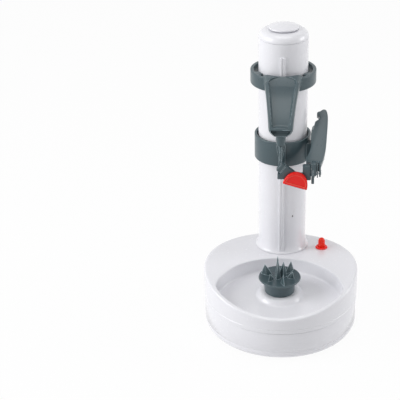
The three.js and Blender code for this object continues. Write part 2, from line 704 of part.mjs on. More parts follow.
function makeColumn() {
  const deck = (y) => rimHeight(y) + fit;
  const flareFoot = deck(columnY);
  const curve = arc(0, 0, 1, 0, quarter, flareSteps).map(([across, up]) =>
    [flareRadius - (flareRadius - columnRadius) * up, flareFoot + flareHeight * (1 - across)]);
  const outside = turned(0, columnY, [[0, columnFoot + fit], [columnRadius, columnFoot + fit],
    [columnRadius, flareFoot], ...curve, [columnRadius, columnTop], [0, columnTop]], roundTube);
  const stem = post(0, columnY, 0, rimPeak + overrun, columnRadius, roundTube);
  const seat = underArch(-fit, -overrun).subtract(stem);
  const inside = post(0, columnY, 0, columnTop + overrun, columnRadius - columnWall, roundTube);
  const rib = slab(0, columnY - columnRadius, ribWidth, 2 * ribStand, flareFoot + flareHeight / 4, ribTop)
    .subtract(post(0, columnY, 0, columnTop, columnRadius - columnWall / 2, roundTube));
  const slot = block(-slotWidth / 2, slotWidth / 2, columnY, columnY + baseRadius, slotBottom, slotTop);
  add('column_tube', outside.add(rib).subtract(join(inside, seat, slot)), white);

  const capTop = columnTop + fit + capHeight;
  const shoulder = arc(columnRadius - capShoulder, capTop - capShoulder, capShoulder, 0, quarter, domeSteps);
  const capBottom = columnTop + fit;
  const dome = turned(0, columnY, [[0, capBottom], [columnRadius, capBottom], ...shoulder, [0, capTop]],
    roundTube);
  const spigotRadius = columnRadius - columnWall - fit;
  const spigot = post(0, columnY, columnTop - 2 * capHeight, columnTop + overrun, spigotRadius, roundTube)
    .subtract(post(0, columnY, 0, columnTop - capHeight, spigotRadius - columnWall, roundTube));
  const bushSeat = post(0, columnY, 0, columnTop - capHeight + bushDepth, screwBushOuter + fit, roundMid);
  const stemHole = post(0, columnY, capTop - 2 * wall, capTop + overrun, plugStem + fit, roundMid);
  add('column_cap', dome.add(spigot).subtract(join(bushSeat, stemHole)), white);

  const plugBottom = capTop + plugGap;
  const lens = Array.from({ length: domeSteps + 1 }, (_, i) => {
    const share = i / domeSteps;
    return [plugRadius * (1 - share), plugBottom + plugThickness + plugDome * (1 - (1 - share) ** 2)];
  });
  const plug = turned(0, columnY, [[0, capTop - 2 * wall + fit], [plugStem, capTop - 2 * wall + fit],
    [plugStem, plugBottom], [plugRadius, plugBottom], ...lens], roundTube);
  add('cap_plug', plug, white);
}

function makeScrew() {
  const top = columnTop - capHeight + bushDepth - screwTopGap / 2;
  add('lead_screw', post(0, columnY, frameHeight, top, screwRadius, roundSmall), steel);
  const hub = post(0, columnY, frameTop + fit, midLevel + gearWidth, screwRadius * 2, roundMid);
  const wheel = gear(0, columnY, screwGearTeeth, -quarter, true, lowLevel);
  const bore = post(0, columnY, 0, rimPeak, screwRadius + fit, roundSmall);
  add('screw_gear', wheel.add(hub).subtract(bore), nylon);
  const footBush = ring(0, columnY, frameHeight, frameTop, bushOuter, screwRadius + fit, roundMid);
  add('screw_foot_bush', footBush, brass);
  const topBush = ring(0, columnY, columnTop - capHeight - bushDepth, columnTop - capHeight + bushDepth - fit,
    screwBushOuter, screwRadius + fit, roundMid);
  add('screw_top_bush', topBush, brass);
}

function makeCarriage() {
  const top = carriageBottom + carriageHeight;
  const front = columnY - carriageRadius;
  const body = post(0, columnY, carriageBottom, top, carriageRadius, roundTube);
  const inner = carriageRadius - carriageWall;
  const hole = post(0, columnY, carriageBottom - overrun, top + overrun, inner, roundTube);
  const nose = slab(0, front, noseWidth, 2 * noseStand, carriageBottom, top);
  const ribNotch = slab(0, columnY - columnRadius, ribWidth + 2 * fit, 2 * (ribStand + fit),
    carriageBottom - overrun, top + overrun);
  const earBottom = carriageBottom;
  const earTop = earBottom + earThickness;
  const ear = post(pivotX, pivotY, earBottom, earTop, earRadius, roundMid);
  const neck = block(0, pivotX, pivotY - earRadius, pivotY + earRadius, earBottom, earTop)
    .subtract(hole);
  const lugFace = columnY + carriageRadius + lugStand;
  const rearLug = block(-slotWidth, slotWidth, columnY, lugFace, nutBottom, nutBottom + nutHeight)
    .subtract(hole);
  const screwZ = nutBottom + nutHeight / 2;
  const headSeat = lugFace - screwHead - fit;
  const pinHole = post(pivotX, pivotY, earBottom - overrun, earTop + overrun, pinRadius + fit, roundSmall);
  const screwHole = join(bar('y', columnY, headSeat + overrun, 0, screwZ, pinRadius),
    bar('y', headSeat, lugFace + overrun, 0, screwZ, 2 * pinRadius + fit));
  const shape = join(body, nose, ear, neck, rearLug).subtract(join(hole, ribNotch, pinHole, screwHole));
  add('peel_carriage', shape, slate);

  // The nut's tongue passes through the slot and ends against the inside of the ring.
  const tongueHalf = slotWidth / 2 - fit;
  const tongueEnd = columnY + Math.sqrt((inner - fit) ** 2 - tongueHalf ** 2);
  const tongue = block(-tongueHalf, tongueHalf, columnY + screwRadius, tongueEnd, nutBottom,
    nutBottom + nutHeight);
  const nut = post(0, columnY, nutBottom, nutBottom + nutHeight, nutRadius, roundMid);
  const thread = post(0, columnY, 0, columnTop, screwRadius + fit, roundSmall);
  const pilotEnd = columnY + nutRadius + wall;
  const pilot = bar('y', pilotEnd, lugFace, 0, screwZ, pinRadius - fit, roundTiny);
  add('follower_nut', join(nut, tongue).subtract(join(thread, pilot)), nylon);
  const head = headSeat + fit;
  const followerScrew = join(bar('y', head, head + screwHead, 0, screwZ, 2 * pinRadius, roundTiny),
    bar('y', pilotEnd + fit, head, 0, screwZ, pinRadius - 2 * fit, roundTiny));
  add('follower_screw', followerScrew, steel);
  const pin = join(post(pivotX, pivotY, earBottom, barrelTop + fit, pinRadius, roundSmall),
    post(pivotX, pivotY, barrelTop + fit, barrelTop + fit + screwHead, 2 * pinRadius, roundSmall));
  add('arm_pivot_pin', pin, steel);
}

// The crescent's plane: across is +X, along climbs backwards, and out is its upper face's normal.
const armAlong = new THREE.Vector3(0, Math.cos(armLean), Math.sin(armLean));
const armOut = new THREE.Vector3(0, -Math.sin(armLean), Math.cos(armLean));
const armFoot = new THREE.Vector3(armFootX, armFootY, armFootZ);
const barrelBottom = carriageBottom + earThickness + fit;
const barrelTop = armFootZ + (pivotY - armFootY) * Math.tan(armLean) + barrelRadius;

// Outer and inner edges of the crescent, as shares of its span and length from the foot.
const outerEdgeShares = [[0, 0], [0.22, 0.06], [0.42, 0.15], [0.6, 0.29], [0.7, 0.46], [0.74, 0.64],
  [0.77, 0.8], [0.72, 0.92], [0.58, 0.985], [0.42, 1]];
const innerEdgeShares = [[0.27, 0.97], [0.26, 0.93], [0.3, 0.88], [0.22, 0.8], [0.1, 0.72],
  [0.03, 0.62], [0.02, 0.54], [-0.08, 0.44], [-0.2, 0.36], [-0.26, 0.29], [-0.22, 0.23], [0, 0.2]];

// The plate from one height along its normal to another.
function armPlate(low, high) {
  const outline = [...outerEdgeShares, ...innerEdgeShares].map(([across, along]) =>
    new THREE.Vector2(across * armSpan, along * armLength));
  const options = { depth: high - low, bevelEnabled: false };
  const geometry = new THREE.ExtrudeGeometry(new THREE.Shape(outline), options);
  geometry.translate(0, 0, low);
  geometry.applyMatrix4(new THREE.Matrix4().makeBasis(new THREE.Vector3(1, 0, 0), armAlong, armOut));
  geometry.translate(armFoot.x, armFoot.y, armFoot.z);
  return solid(geometry);
}

const cheekX = armFootX + fit;
const farCheekX = cheekX + cheekThickness + cheekGap;
const headRight = cheekX - fit;
const springOuter = pinRadius + fit + 2 * springWall;

function makePeelArm() {
  const plate = armPlate(0, armThickness);
  const barrel = post(pivotX, pivotY, barrelBottom, barrelTop, barrelRadius, roundMid);
  const cheeks = [cheekX, farCheekX].map((x) => block(x, x + cheekThickness, headPinY - cheekDepth / 2,
    headPinY + cheekDepth / 2, headPinZ - cheekHeight / 2, headPinZ + cheekHeight / 2));
  const gap = block(cheekX + cheekThickness, farCheekX, headPinY - cheekDepth, headPinY + cheekDepth / 4,
    headPinZ - cheekHeight, headPinZ + cheekHeight);
  const clear = block(0, headRight + fit, headPinY - cheekDepth, headPinY + cheekDepth / 2 + fit,
    headPinZ - cheekHeight, headPinZ + cheekHeight / 2);
  const bore = join(post(pivotX, pivotY, 0, barrelTop + overrun, pinRadius + fit, roundSmall),
    post(pivotX, pivotY, barrelTop, columnTop, 2 * pinRadius + fit, roundMid),
    post(pivotX, pivotY, barrelBottom - overrun, barrelBottom + armSpringHeight + fit, springOuter + fit,
      roundMid));
  const pinHole = bar('x', headRight - overrun, farCheekX + 2 * cheekThickness, headPinY, headPinZ,
    headPinRadius + fit);
  const shape = join(plate.subtract(join(gap, clear)), barrel, ...cheeks).subtract(join(bore, pinHole));
  add('peel_arm', shape, slate);
  add('arm_spring', ring(pivotX, pivotY, barrelBottom, barrelBottom + armSpringHeight, springOuter,
    pinRadius + fit, roundSmall), steel);
  const pinEnd = farCheekX + cheekThickness + fit;
  const pin = join(bar('x', headRight - headBlock, pinEnd, headPinY, headPinZ, headPinRadius),
    bar('x', pinEnd, pinEnd + headPinRadius, headPinY, headPinZ, 2 * headPinRadius));
  add('head_pin', pin, steel);
}

// The blade head hangs on the pin at the left of the fork and carries the cartridge on its front.
function makeBladeHead() {
  const left = headRight - headBlock;
  const back = headPinY + headDepth / 2;
  const front = headPinY - headDepth / 2;
  const bottom = headPinZ - headBlockHeight / 2;
  const knuckle = block(left, headRight, front, back, bottom, bottom + headBlockHeight);
  const beam = block(left - headReach, left + overrun, back - headBarDepth, back, bottom,
    bottom + headBarHeight);
  const wedge = block(-wedgeLength / 2, wedgeLength / 2, front, back, -wedgeHeight / 2, wedgeHeight / 2)
    .rotate([0, wedgeTilt, 0]).translate([wedgeX, 0, wedgeZ]);
  const hole = bar('x', left - overrun, headRight + overrun, headPinY, headPinZ, headPinRadius + fit);
  add('blade_head', join(knuckle, beam, wedge).subtract(hole), slate);

  const face = front - fit;
  const half = cartridgeWidth / 2;
  const crown = arc(0, 0, 1, 0, Math.PI, endSteps).map(([dx, dz]) => [half * dx, cartridgeHeight * dz]);
  const seat = (outline, from, to) => alongY(outline, from, to).rotate([0, cartridgeTilt, 0])
    .translate([cartridgeX, 0, cartridgeZ]);
  const cut = bladeStrip / 2;
  const stripTop = bladeStripHeight - bladeShow;
  const pocket = (margin) => [[-cut - margin, -bladeShow], [cut + margin, -bladeShow],
    [cut + margin, stripTop + margin], [-cut - margin, stripTop + margin]];
  const middle = face - cartridgeThickness / 2;
  const stripHalf = bladeStripThickness / 2;
  const body = seat(crown, face - cartridgeThickness, face)
    .subtract(seat(pocket(fit), middle - stripHalf - fit, middle + stripHalf + fit));
  add('blade_cartridge', body, red);
  add('peel_blade', seat(pocket(0), middle - stripHalf, middle + stripHalf), steel);
}

// Trough of the food arm: its section's half width and height shares, and the curve that it follows.
const troughShares = [[-1, 0], [-1, -0.6], [-0.72, -1], [0.72, -1], [1, -0.6], [1, 0]];
const troughFloorShare = 0.3;
const troughBulgeShare = 0.6;
const troughRootShare = 0.75;
const troughTaperShare = 0.8;
const prongShoulderShare = 0.8;
function troughSection(share, path) {
  const place = path.getPoint(share);
  const run = path.getTangent(share);
  const half = THREE.MathUtils.lerp(troughRootWidth, troughTipWidth, share ** troughTaperShare) / 2;
  const deep = THREE.MathUtils.lerp(troughRootDepth, troughTipDepth, share);
  const outer = troughShares.map(([x, n]) => [x * half, n * deep]);
  const floor = -troughFloorShare * deep;
  const lip = half - troughWall;
  const inner = [[lip, 0], [lip, floor], [-lip, floor], [-lip, 0]];
  return [...outer, ...inner].map(([x, n]) => new THREE.Vector3(x, place.x - run.y * n, place.y + run.x * n));
}

function makeFoodArm() {
  const top = collarBottom + collarTall;
  const inner = collarOuter - collarWall;
  const body = post(0, columnY, collarBottom, top, collarOuter, roundTube);
  const hole = post(0, columnY, collarBottom - collarTall, top + collarTall, inner, roundTube);
  const pad = block(columnRadius, inner + overrun, -guideWidth / 2, guideWidth / 2, collarBottom, top);
  const guides = Array.from({ length: guideCount }, (_, k) =>
    pad.rotate([0, 0, guideTurn + 360 * k / guideCount]).translate([0, columnY, 0]));
  const tubeRoom = post(0, columnY, collarBottom - overrun, top + overrun, columnRadius + fit, roundTube);
  const path = new THREE.QuadraticBezierCurve(
    new THREE.Vector2(spindleY - troughReach, troughTipZ),
    new THREE.Vector2((spindleY - troughReach) / 3, top + troughRise * troughBulgeShare),
    new THREE.Vector2(columnY - inner * troughRootShare, top + troughRise),
  );
  const sections = Array.from({ length: troughSteps + 1 }, (_, i) =>
    troughSection(1 - i / troughSteps, path));
  const flat = troughSection(0, new THREE.LineCurve(new THREE.Vector2(0, 0), new THREE.Vector2(1, 0)))
    .map((p) => new THREE.Vector2(p.x, p.z));
  const trough = loft(sections.reverse(), flat).subtract(hole);
  const socket = post(0, spindleY, socketBottom, socketBottom + socketHeight, socketRadius, roundMid);
  const bore = post(0, spindleY, socketBottom - overrun, socketBottom + axleReach, axleRadius + fit,
    roundSmall);
  add('food_arm', join(body.subtract(hole), ...guides.map((g) => g.subtract(tubeRoom)), trough, socket)
    .subtract(bore), slate);

  const prongTop = socketBottom - prongGap;
  const shoulderX = prongHead * prongShoulderShare;
  const shoulderZ = prongTop - prongHead;
  const vane = alongY([[-prongHead, prongTop], [-shoulderX, shoulderZ], [-prongVane / 4, prongTip],
    [prongVane / 4, prongTip], [shoulderX, shoulderZ], [prongHead, prongTop]], -prongVane / 2, prongVane / 2);
  const core = post(0, 0, prongTip + prongHead, prongTop, prongVane / 2, roundSmall,
    axleRadius + fit + prongVane / 2);
  const seat = post(0, 0, prongTop - prongHead, prongTop + overrun, axleRadius + fit / 2, roundSmall);
  add('prong', join(vane, vane.rotate([0, 0, 90]), core).subtract(seat).translate([0, spindleY, 0]), slate);
  const axleTop = socketBottom + axleReach - fit;
  const axleBottom = prongTop - prongHead + fit;
  add('prong_axle', post(0, spindleY, axleBottom, axleTop, axleRadius - fit / 2, roundSmall), steel);
}

// Start button on the deck, with its sleeve, spring and switch.
function makeStartButton() {
  const deck = rimHeight(buttonY) + fit;
  const collarTop = deck + collarHeight;
  const sleeveBottom = deck - buttonStem - buttonSpring;
  const rimRadius = collarRadius - collarHeight / 2;
  const flat = post(buttonX, buttonY, deck, collarTop, collarRadius, roundMid, rimRadius);
  const well = post(buttonX, buttonY, 0, rimPeak, sleeveRadius, roundSmall);
  const slope = underArch(-fit, -overrun).subtract(well);
  const sleeve = post(buttonX, buttonY, sleeveBottom, deck + overrun, sleeveRadius, roundSmall);
  const bore = post(buttonX, buttonY, sleeveBottom - overrun, collarTop + overrun, buttonRadius + fit,
    roundSmall);
  const skirt = post(buttonX, buttonY, deck - 2 * collarHeight, deck + overrun / 2, collarRadius, roundMid)
    .subtract(underArch(-fit, -overrun));
  add('button_collar', join(flat, skirt).subtract(slope).add(sleeve).subtract(bore), red);
  const domeTop = collarTop + buttonHeight;
  const profile = arc(0, domeTop - buttonRadius, buttonRadius, 0, quarter, cornerSteps);
  const plungerBottom = sleeveBottom + buttonTravel;
  add('start_button', turned(buttonX, buttonY, [[0, plungerBottom], [plungerRadius, plungerBottom],
    [plungerRadius, deck - buttonStem], [buttonRadius, deck - buttonStem], ...profile], roundMid), red);
  add('button_spring', ring(buttonX, buttonY, sleeveBottom + fit, deck - buttonStem - fit, buttonRadius - fit,
    buttonRadius - fit - springWall, roundSmall), steel);
  const half = switchWidth / 2;
  add('start_switch', block(buttonX - half, buttonX + half, buttonY - half, buttonY + half,
    sleeveBottom - fit - switchHeight, sleeveBottom - fit), rubber);
}

// Board, limit switch and the leads between the board and the motor.
function makeElectronics() {
  const boardTop = boardBottom + boardThickness;
  const board = slab(boardX, boardY, boardWidth, boardDepth, boardBottom, boardTop);
  const top = boardTop - boardThickness / 4;
  const chip = slab(boardX, boardY + boardDepth / 4, chipWidth, chipWidth, top, top + chipHeight);
  const can = post(boardX, boardY - boardDepth / 4, top, top + canHeight, canRadius, roundSmall);
  add('circuit_board', join(board, chip, can), laminate);
  const limitOuter = Math.sqrt((columnRadius - columnWall) ** 2 - (limitSwitchWidth / 2) ** 2) - fit;
  const limitBottom = columnFoot + limitSwitchRise;
  add('limit_switch', block(limitOuter - limitSwitchWidth, limitOuter, columnY - limitSwitchWidth / 2,
    columnY + limitSwitchWidth / 2, limitBottom, limitBottom + switchHeight), rubber);
  const leadY = bayBack + wall / 2 + postRadius;
  const leadZ = panTop + cradleHeight + 2 * leadRadius;
  const path = new THREE.CatmullRomCurve3([
    new THREE.Vector3(boardX, boardY + boardDepth / 2 - chipWidth / 2, boardTop + fit + leadRadius),
    new THREE.Vector3(boardX - boardWidth / 2, leadY, leadZ),
    new THREE.Vector3(bayHalf / 2, leadY, leadZ),
    new THREE.Vector3(-bayHalf / 2, leadY, leadZ),
    new THREE.Vector3(motorX + motorRadius + 3 * leadRadius, (leadY + motorY) / 2, leadZ),
    new THREE.Vector3(motorX + motorRadius + fit, motorY, leadZ),
  ]);
  const section = new THREE.Shape(Array.from({ length: leadSides }, (_, i) =>
    new THREE.Vector2(...polar(leadRadius, 2 * Math.PI * i / leadSides))));
  const options = { steps: leadSteps, extrudePath: path, bevelEnabled: false };
  const geometry = new THREE.ExtrudeGeometry(section, options);
  add('motor_leads', solid(geometry), red);
}

makeBase();
makeFeetAndScrews();
makeBattery();
makeGearTrain();
makeSpindle();
makeFoodHolder();
makeColumn();
makeScrew();
makeCarriage();
makePeelArm();
makeBladeHead();
makeFoodArm();
makeStartButton();
makeElectronics();

export default peeler;
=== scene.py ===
"""Electric fruit peeler, modelled around its packed frame. Metres, +Z up, the tray faces -Y."""
import math
from contextlib import contextmanager

import bmesh
import bpy
from bpy.props import FloatProperty, FloatVectorProperty, IntProperty, PointerProperty
from mathutils import Matrix, Vector


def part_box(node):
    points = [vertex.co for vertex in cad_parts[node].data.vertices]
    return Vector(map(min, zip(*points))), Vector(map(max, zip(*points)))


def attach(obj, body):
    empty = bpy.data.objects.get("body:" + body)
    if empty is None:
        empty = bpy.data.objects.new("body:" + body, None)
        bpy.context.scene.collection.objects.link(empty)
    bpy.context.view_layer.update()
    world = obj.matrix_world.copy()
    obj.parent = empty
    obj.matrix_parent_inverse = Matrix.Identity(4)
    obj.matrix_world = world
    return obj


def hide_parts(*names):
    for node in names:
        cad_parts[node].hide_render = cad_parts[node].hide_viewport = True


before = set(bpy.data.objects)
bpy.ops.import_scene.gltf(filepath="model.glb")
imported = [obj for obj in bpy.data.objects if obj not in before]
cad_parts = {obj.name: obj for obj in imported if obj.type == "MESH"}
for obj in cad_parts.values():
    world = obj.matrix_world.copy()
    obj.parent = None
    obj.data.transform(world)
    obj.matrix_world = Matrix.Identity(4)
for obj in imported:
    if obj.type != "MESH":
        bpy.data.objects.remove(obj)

bl_info = {
    "name": "Electric fruit peeler",
    "version": (1, 0, 0),
    "blender": (4, 5, 0),
    "location": "3D Viewport > Sidebar > Peeler",
    "description": "Models an electric fruit peeler with its moulded shells, arms and blade",
    "category": "Add Mesh",
}

MM = 0.001
FIT = 0.3 * MM          # gap between pieces that are put together
PAST = 1 * MM           # how far a cut reaches past a face
MERGE = 0.002 * MM      # points nearer than this become one
FINE, EASED, SMALL, SOFT = 0.2 * MM, 0.3 * MM, 0.4 * MM, 0.5 * MM       # roundings of small edges
# Radii of the bores for shanks, for heads, for the head pin and for the button
SHANK_BORE, HEAD_BORE, PIN_BORE, BUTTON_BORE = 2.3 * MM, 4.3 * MM, 1.5 * MM, 5.2 * MM
QUARTER = math.pi / 2
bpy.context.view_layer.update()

# Places that the frame gives
base_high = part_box("base_housing")[1]
pan_low, pan_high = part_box("bottom_pan")
tube_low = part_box("column_tube")[0]
cap_low, cap_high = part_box("column_cap")
plug_low, plug_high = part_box("cap_plug")
collar_low, collar_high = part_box("button_collar")
button_low, button_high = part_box("start_button")
holder_low, holder_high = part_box("food_holder")
ring_low, ring_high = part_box("peel_carriage")
pivot_low, pivot_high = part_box("arm_pivot_pin")
head_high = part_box("blade_head")[1]
pin_low, pin_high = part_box("head_pin")
food_low, food_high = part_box("food_arm")
prong_low, prong_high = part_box("prong")
screw_low, screw_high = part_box("lead_screw")
base_radius = base_high.x
column_y = (plug_low.y + plug_high.y) / 2
column_radius = cap_high.x
button_x = (button_low.x + button_high.x) / 2
button_y = (button_low.y + button_high.y) / 2
spindle_y = (holder_low.y + holder_high.y) / 2
pivot_x = (pivot_low.x + pivot_high.x) / 2
pivot_y = (pivot_low.y + pivot_high.y) / 2
pin_y = (pin_low.y + pin_high.y) / 2
pin_z = (pin_low.z + pin_high.z) / 2


def length(label, note, value):
    """A size that the user may change, in metres."""
    return FloatProperty(name=label, description=note, default=value, min=0, unit="LENGTH", precision=5)


def tint(label, red, green, blue):
    """A colour that the user may change, from 8-bit screen values."""
    screen = [value / 255 for value in (red, green, blue)]
    linear = [c / 12.92 if c <= 0.04045 else ((c + 0.055) / 1.055) ** 2.4 for c in screen]
    return FloatVectorProperty(name=label, description=f"Colour of the {label.lower()}", size=4,
                               default=(*linear, 1), min=0, max=1, subtype="COLOR")


class PeelerBase(bpy.types.PropertyGroup):
    """Sizes of the base, its tray and the cone under the food holder."""
    wall: length("Wall", "Thickness of the shells", 2.4 * MM)
    rim_front: length("Front rim", "Height of the arched top at the front", 47.6 * MM)
    rim_peak: length("Rim peak", "Height of the arched top at its peak", 64.5 * MM)
    rim_back: length("Back rim", "Height of the arched top at the back", 60 * MM)
    rim_peak_y: length("Peak place", "Place of the peak behind the middle", 9.88 * MM)
    rim_fillet: length("Rim fillet", "Rounding of the outer rim", 2.2 * MM)
    tray_radius: length("Tray radius", "Radius of the tray's back edge", 65 * MM)
    tray_back: length("Tray back", "Place of the tray's back edge behind the middle", 13.4 * MM)
    tray_lip: length("Tray lip", "Width of the lip in front of the tray", 4 * MM)
    tray_corner: length("Tray corner", "Softness of the tray's two side corners", 2.2 * MM)
    tray_fillet: length("Tray fillet", "Rounding of the tray's upper edge", 1.2 * MM)
    floor_fillet: length("Floor fillet", "Rounding where the tray's wall meets its floor", 2.6 * MM)
    tray_draft: length("Tray draft", "How far the tray's wall leans in", 0.8 * MM)
    floor_front: length("Floor front", "Height of the tray floor at the front", 45.2 * MM)
    floor_back: length("Floor back", "Height of the tray floor at the back", 50.5 * MM)
    cone_radius: length("Cone radius", "Radius of the cone's foot", 22.8 * MM)
    cone_top: length("Cone top", "Radius of the cone's top", 17.6 * MM)
    ledge_drop: length("Ledge drop", "How far the cone's ledge lies under its collar", 3.6 * MM)
    collar_radius: length("Collar radius", "Radius of the collar on the cone", 11.5 * MM)
    cone_height: length("Cone height", "Height of the cone over the tray floor", 7.5 * MM)
    cone_bore: length("Cone bore", "Radius of the hole for the spindle bush", 5.4 * MM)
    seam: length("Seam", "Height of the seam between the two shells", 32 * MM)
    groove: length("Groove", "Height of the fine line over the seam", 36.6 * MM)
    pan_corner: length("Pan corner", "Rounding of the bottom edge", 8 * MM)
    facets: IntProperty(name="Facets", description="Steps round the base", default=224, min=32)


class PeelerColumn(bpy.types.PropertyGroup):
    """Sizes of the column, its cap and the plug on top."""
    wall: length("Wall", "Thickness of the tube", 2.2 * MM)
    flare_radius: length("Flare radius", "Radius of the flared foot", 27 * MM)
    flare_height: length("Flare height", "Height of the flared foot", 13 * MM)
    flare_rise: length("Flare rise", "Height of the flare's lip over the deck", 0.3 * MM)
    rib_width: length("Rib width", "Width of the front rib", 5 * MM)
    rib_stand: length("Rib stand", "How far the rib stands out", 1.5 * MM)
    rib_top: length("Rib top", "Height of the rib's square end", 273.5 * MM)
    tube_top: length("Tube top", "Height of the tube's end under the cap", 286 * MM)
    slot_width: length("Slot width", "Width of the slot in the back", 8 * MM)
    slot_low: length("Slot bottom", "Height of the slot's lower end", 87.8 * MM)
    slot_high: length("Slot top", "Height of the slot's upper end", 187.8 * MM)
    shoulder: length("Shoulder", "Rounding of the cap", 7 * MM)
    plug_stem: length("Plug stem", "Radius of the plug's stem", 9 * MM)
    plug_radius: length("Plug radius", "Radius of the plug's rim", 14.4 * MM)
    plug_rim: length("Plug rim", "Thickness of the plug's rim", 1.6 * MM)
    pitch: length("Pitch", "Rise of the lead screw in one turn", 4.5 * MM)
    facets: IntProperty(name="Facets", description="Steps round the column", default=144, min=24)


class PeelerArms(bpy.types.PropertyGroup):
    """Sizes of the food arm, the peel carriage and the peel arm."""
    collar_wall: length("Collar wall", "Thickness of the food arm's collar", 3.4 * MM)
    collar_low: length("Collar bottom", "Height of the collar's lower edge", 241.4 * MM)
    collar_tall: length("Collar height", "Height of the collar", 13 * MM)
    trough_root: length("Trough root", "Width of the trough at the collar", 38 * MM)
    trough_tip: length("Trough tip", "Width of the trough at its nose", 21.5 * MM)
    trough_deep: length("Trough depth", "Depth of the trough at the collar", 15.5 * MM)
    trough_shallow: length("Nose depth", "Depth of the trough at its nose", 9 * MM)
    trough_wall: length("Trough wall", "Thickness of the trough's sides", 3.0 * MM)
    nose_height: length("Nose height", "Height of the trough's nose", 222 * MM)
    socket_radius: length("Socket radius", "Radius of the prong's socket", 4.6 * MM)
    carriage_wall: length("Carriage wall", "Thickness of the carriage ring", 2.4 * MM)
    nose_width: length("Nose width", "Width of the carriage's front bar", 6.4 * MM)
    nose_stand: length("Nose stand", "How far the front bar stands out", 1.6 * MM)
    ear_radius: length("Ear radius", "Radius of the ear that holds the pivot", 5.2 * MM)
    ear_tall: length("Ear height", "Thickness of the ear", 8 * MM)
    lug_tall: length("Lug height", "Height of the rear lug", 14 * MM)
    arm_length: length("Arm length", "Length of the peel arm's crescent", 72 * MM)
    arm_span: length("Arm span", "Unit of the crescent's width", 20 * MM)
    arm_thick: length("Arm thickness", "Thickness of the crescent", 9 * MM)
    barrel_radius: length("Barrel radius", "Radius of the pivot barrel", 4.6 * MM)
    cheek: length("Cheek", "Thickness of the fork's cheeks", 2 * MM)
    cheek_tall: length("Cheek height", "Height of the cheeks", 21 * MM)
    cheek_deep: length("Cheek depth", "Depth of the cheeks", 9 * MM)
    edge: length("Edge", "Rounding of moulded edges", 0.6 * MM)


class PeelerColours(bpy.types.PropertyGroup):
    """Colours of the finishes."""
    white: tint("White plastic", 238, 238, 243)
    slate: tint("Slate plastic", 74, 92, 98)
    red: tint("Red plastic", 252, 26, 14)
    button: tint("Button plastic", 255, 44, 16)
    steel: tint("Steel", 205, 207, 210)
    brass: tint("Brass", 214, 176, 104)
    rubber: tint("Rubber", 66, 67, 70)
    nylon: tint("Gear plastic", 229, 222, 202)
    jacket: tint("Cell jacket", 47, 93, 80)
    board: tint("Circuit board", 45, 106, 58)
    black: tint("Black plastic", 45, 46, 49)
    sleeve: tint("Lead sleeve", 178, 40, 30)


GROUPS = {"peeler_base": PeelerBase, "peeler_column": PeelerColumn, "peeler_arms": PeelerArms,
          "peeler_colours": PeelerColours}


def rim_height(size, y):
    """Height of the base's arched top at a place along Y."""
    front = y < size.rim_peak_y
    end = -base_radius if front else base_radius
    share = (y - size.rim_peak_y) / (end - size.rim_peak_y)
    return size.rim_peak - (size.rim_peak - (size.rim_front if front else size.rim_back)) * share ** 2


def floor_height(size, y):
    """Height of the tray's sloping floor at a place along Y."""
    front = size.tray_lip - base_radius
    share = (y - front) / (size.tray_back - front)
    return size.floor_front + (size.floor_back - size.floor_front) * share


# Work in object and edit mode

def choose(piece):
    """Makes a piece the only one selected."""
    bpy.ops.object.select_all(action="DESELECT")
    piece.select_set(True)
    bpy.context.view_layer.objects.active = piece


@contextmanager
def editing(piece):
    """Edit mode on a piece, with its editable mesh."""
    choose(piece)
    bpy.ops.object.mode_set(mode="EDIT")
    yield bmesh.from_edit_mesh(piece.data)
    bpy.ops.object.mode_set(mode="OBJECT")


def started(name):
    """The primitive that was just added, under its name."""
    piece = bpy.context.object
    piece.name = piece.data.name = name
    return piece


def settled(piece):
    """Puts a piece's place, turn and scale into its mesh."""
    choose(piece)
    bpy.ops.object.transform_apply(location=True, rotation=True, scale=True)
    return piece


def closed(threshold=MERGE):
    """Merges doubles in edit mode, drops loose edges and turns the faces outwards."""
    bpy.ops.mesh.select_all(action="SELECT")
    bpy.ops.mesh.remove_doubles(threshold=threshold)
    bpy.ops.mesh.delete_loose(use_verts=True, use_edges=True, use_faces=False)
    bpy.ops.mesh.select_all(action="SELECT")
    bpy.ops.mesh.normals_make_consistent(inside=False)


def modified(piece, kind, **values):
    """Adds a modifier with its values and applies it."""
    choose(piece)
    modifier = piece.modifiers.new(kind.title(), kind)
    for key, value in values.items():
        setattr(modifier, key, value)
    bpy.ops.object.modifier_apply(modifier=modifier.name)
    return piece


def combined(piece, operation, tools):
    """Works tools into a piece one by one, removes them, and closes the small gaps that this leaves."""
    for tool in tools:
        modified(piece, "BOOLEAN", operation=operation, object=tool, solver="EXACT")
        bpy.data.objects.remove(tool)
    with editing(piece):
        bpy.ops.mesh.select_all(action="SELECT")
        bpy.ops.mesh.remove_doubles(threshold=2 * MERGE)
        bpy.ops.mesh.delete_loose(use_verts=True, use_edges=True, use_faces=False)
        bpy.ops.mesh.select_mode(type="EDGE")
        bpy.ops.mesh.select_all(action="DESELECT")
        bpy.ops.mesh.select_non_manifold()
        bpy.ops.mesh.fill_holes(sides=6)
        bpy.ops.mesh.select_mode(type="VERT")
    return piece


def joined(piece, *tools):
    """Melts tools into a piece."""
    return combined(piece, "UNION", tools)


def cut(piece, *tools):
    """Cuts tools from a piece."""
    return combined(piece, "DIFFERENCE", tools)


def moved(place, turn=0.0, axis="Z"):
    """Matrix that turns a piece about an axis and then moves it to a place."""
    return Matrix.Translation(place) @ Matrix.Rotation(turn, 4, axis)


def copied(piece, place, name):
    """A copy of a piece with its own mesh, moved by a matrix."""
    choose(piece)
    bpy.ops.object.duplicate()
    copy = started(name)
    copy.matrix_world = place @ piece.matrix_world
    return settled(copy)


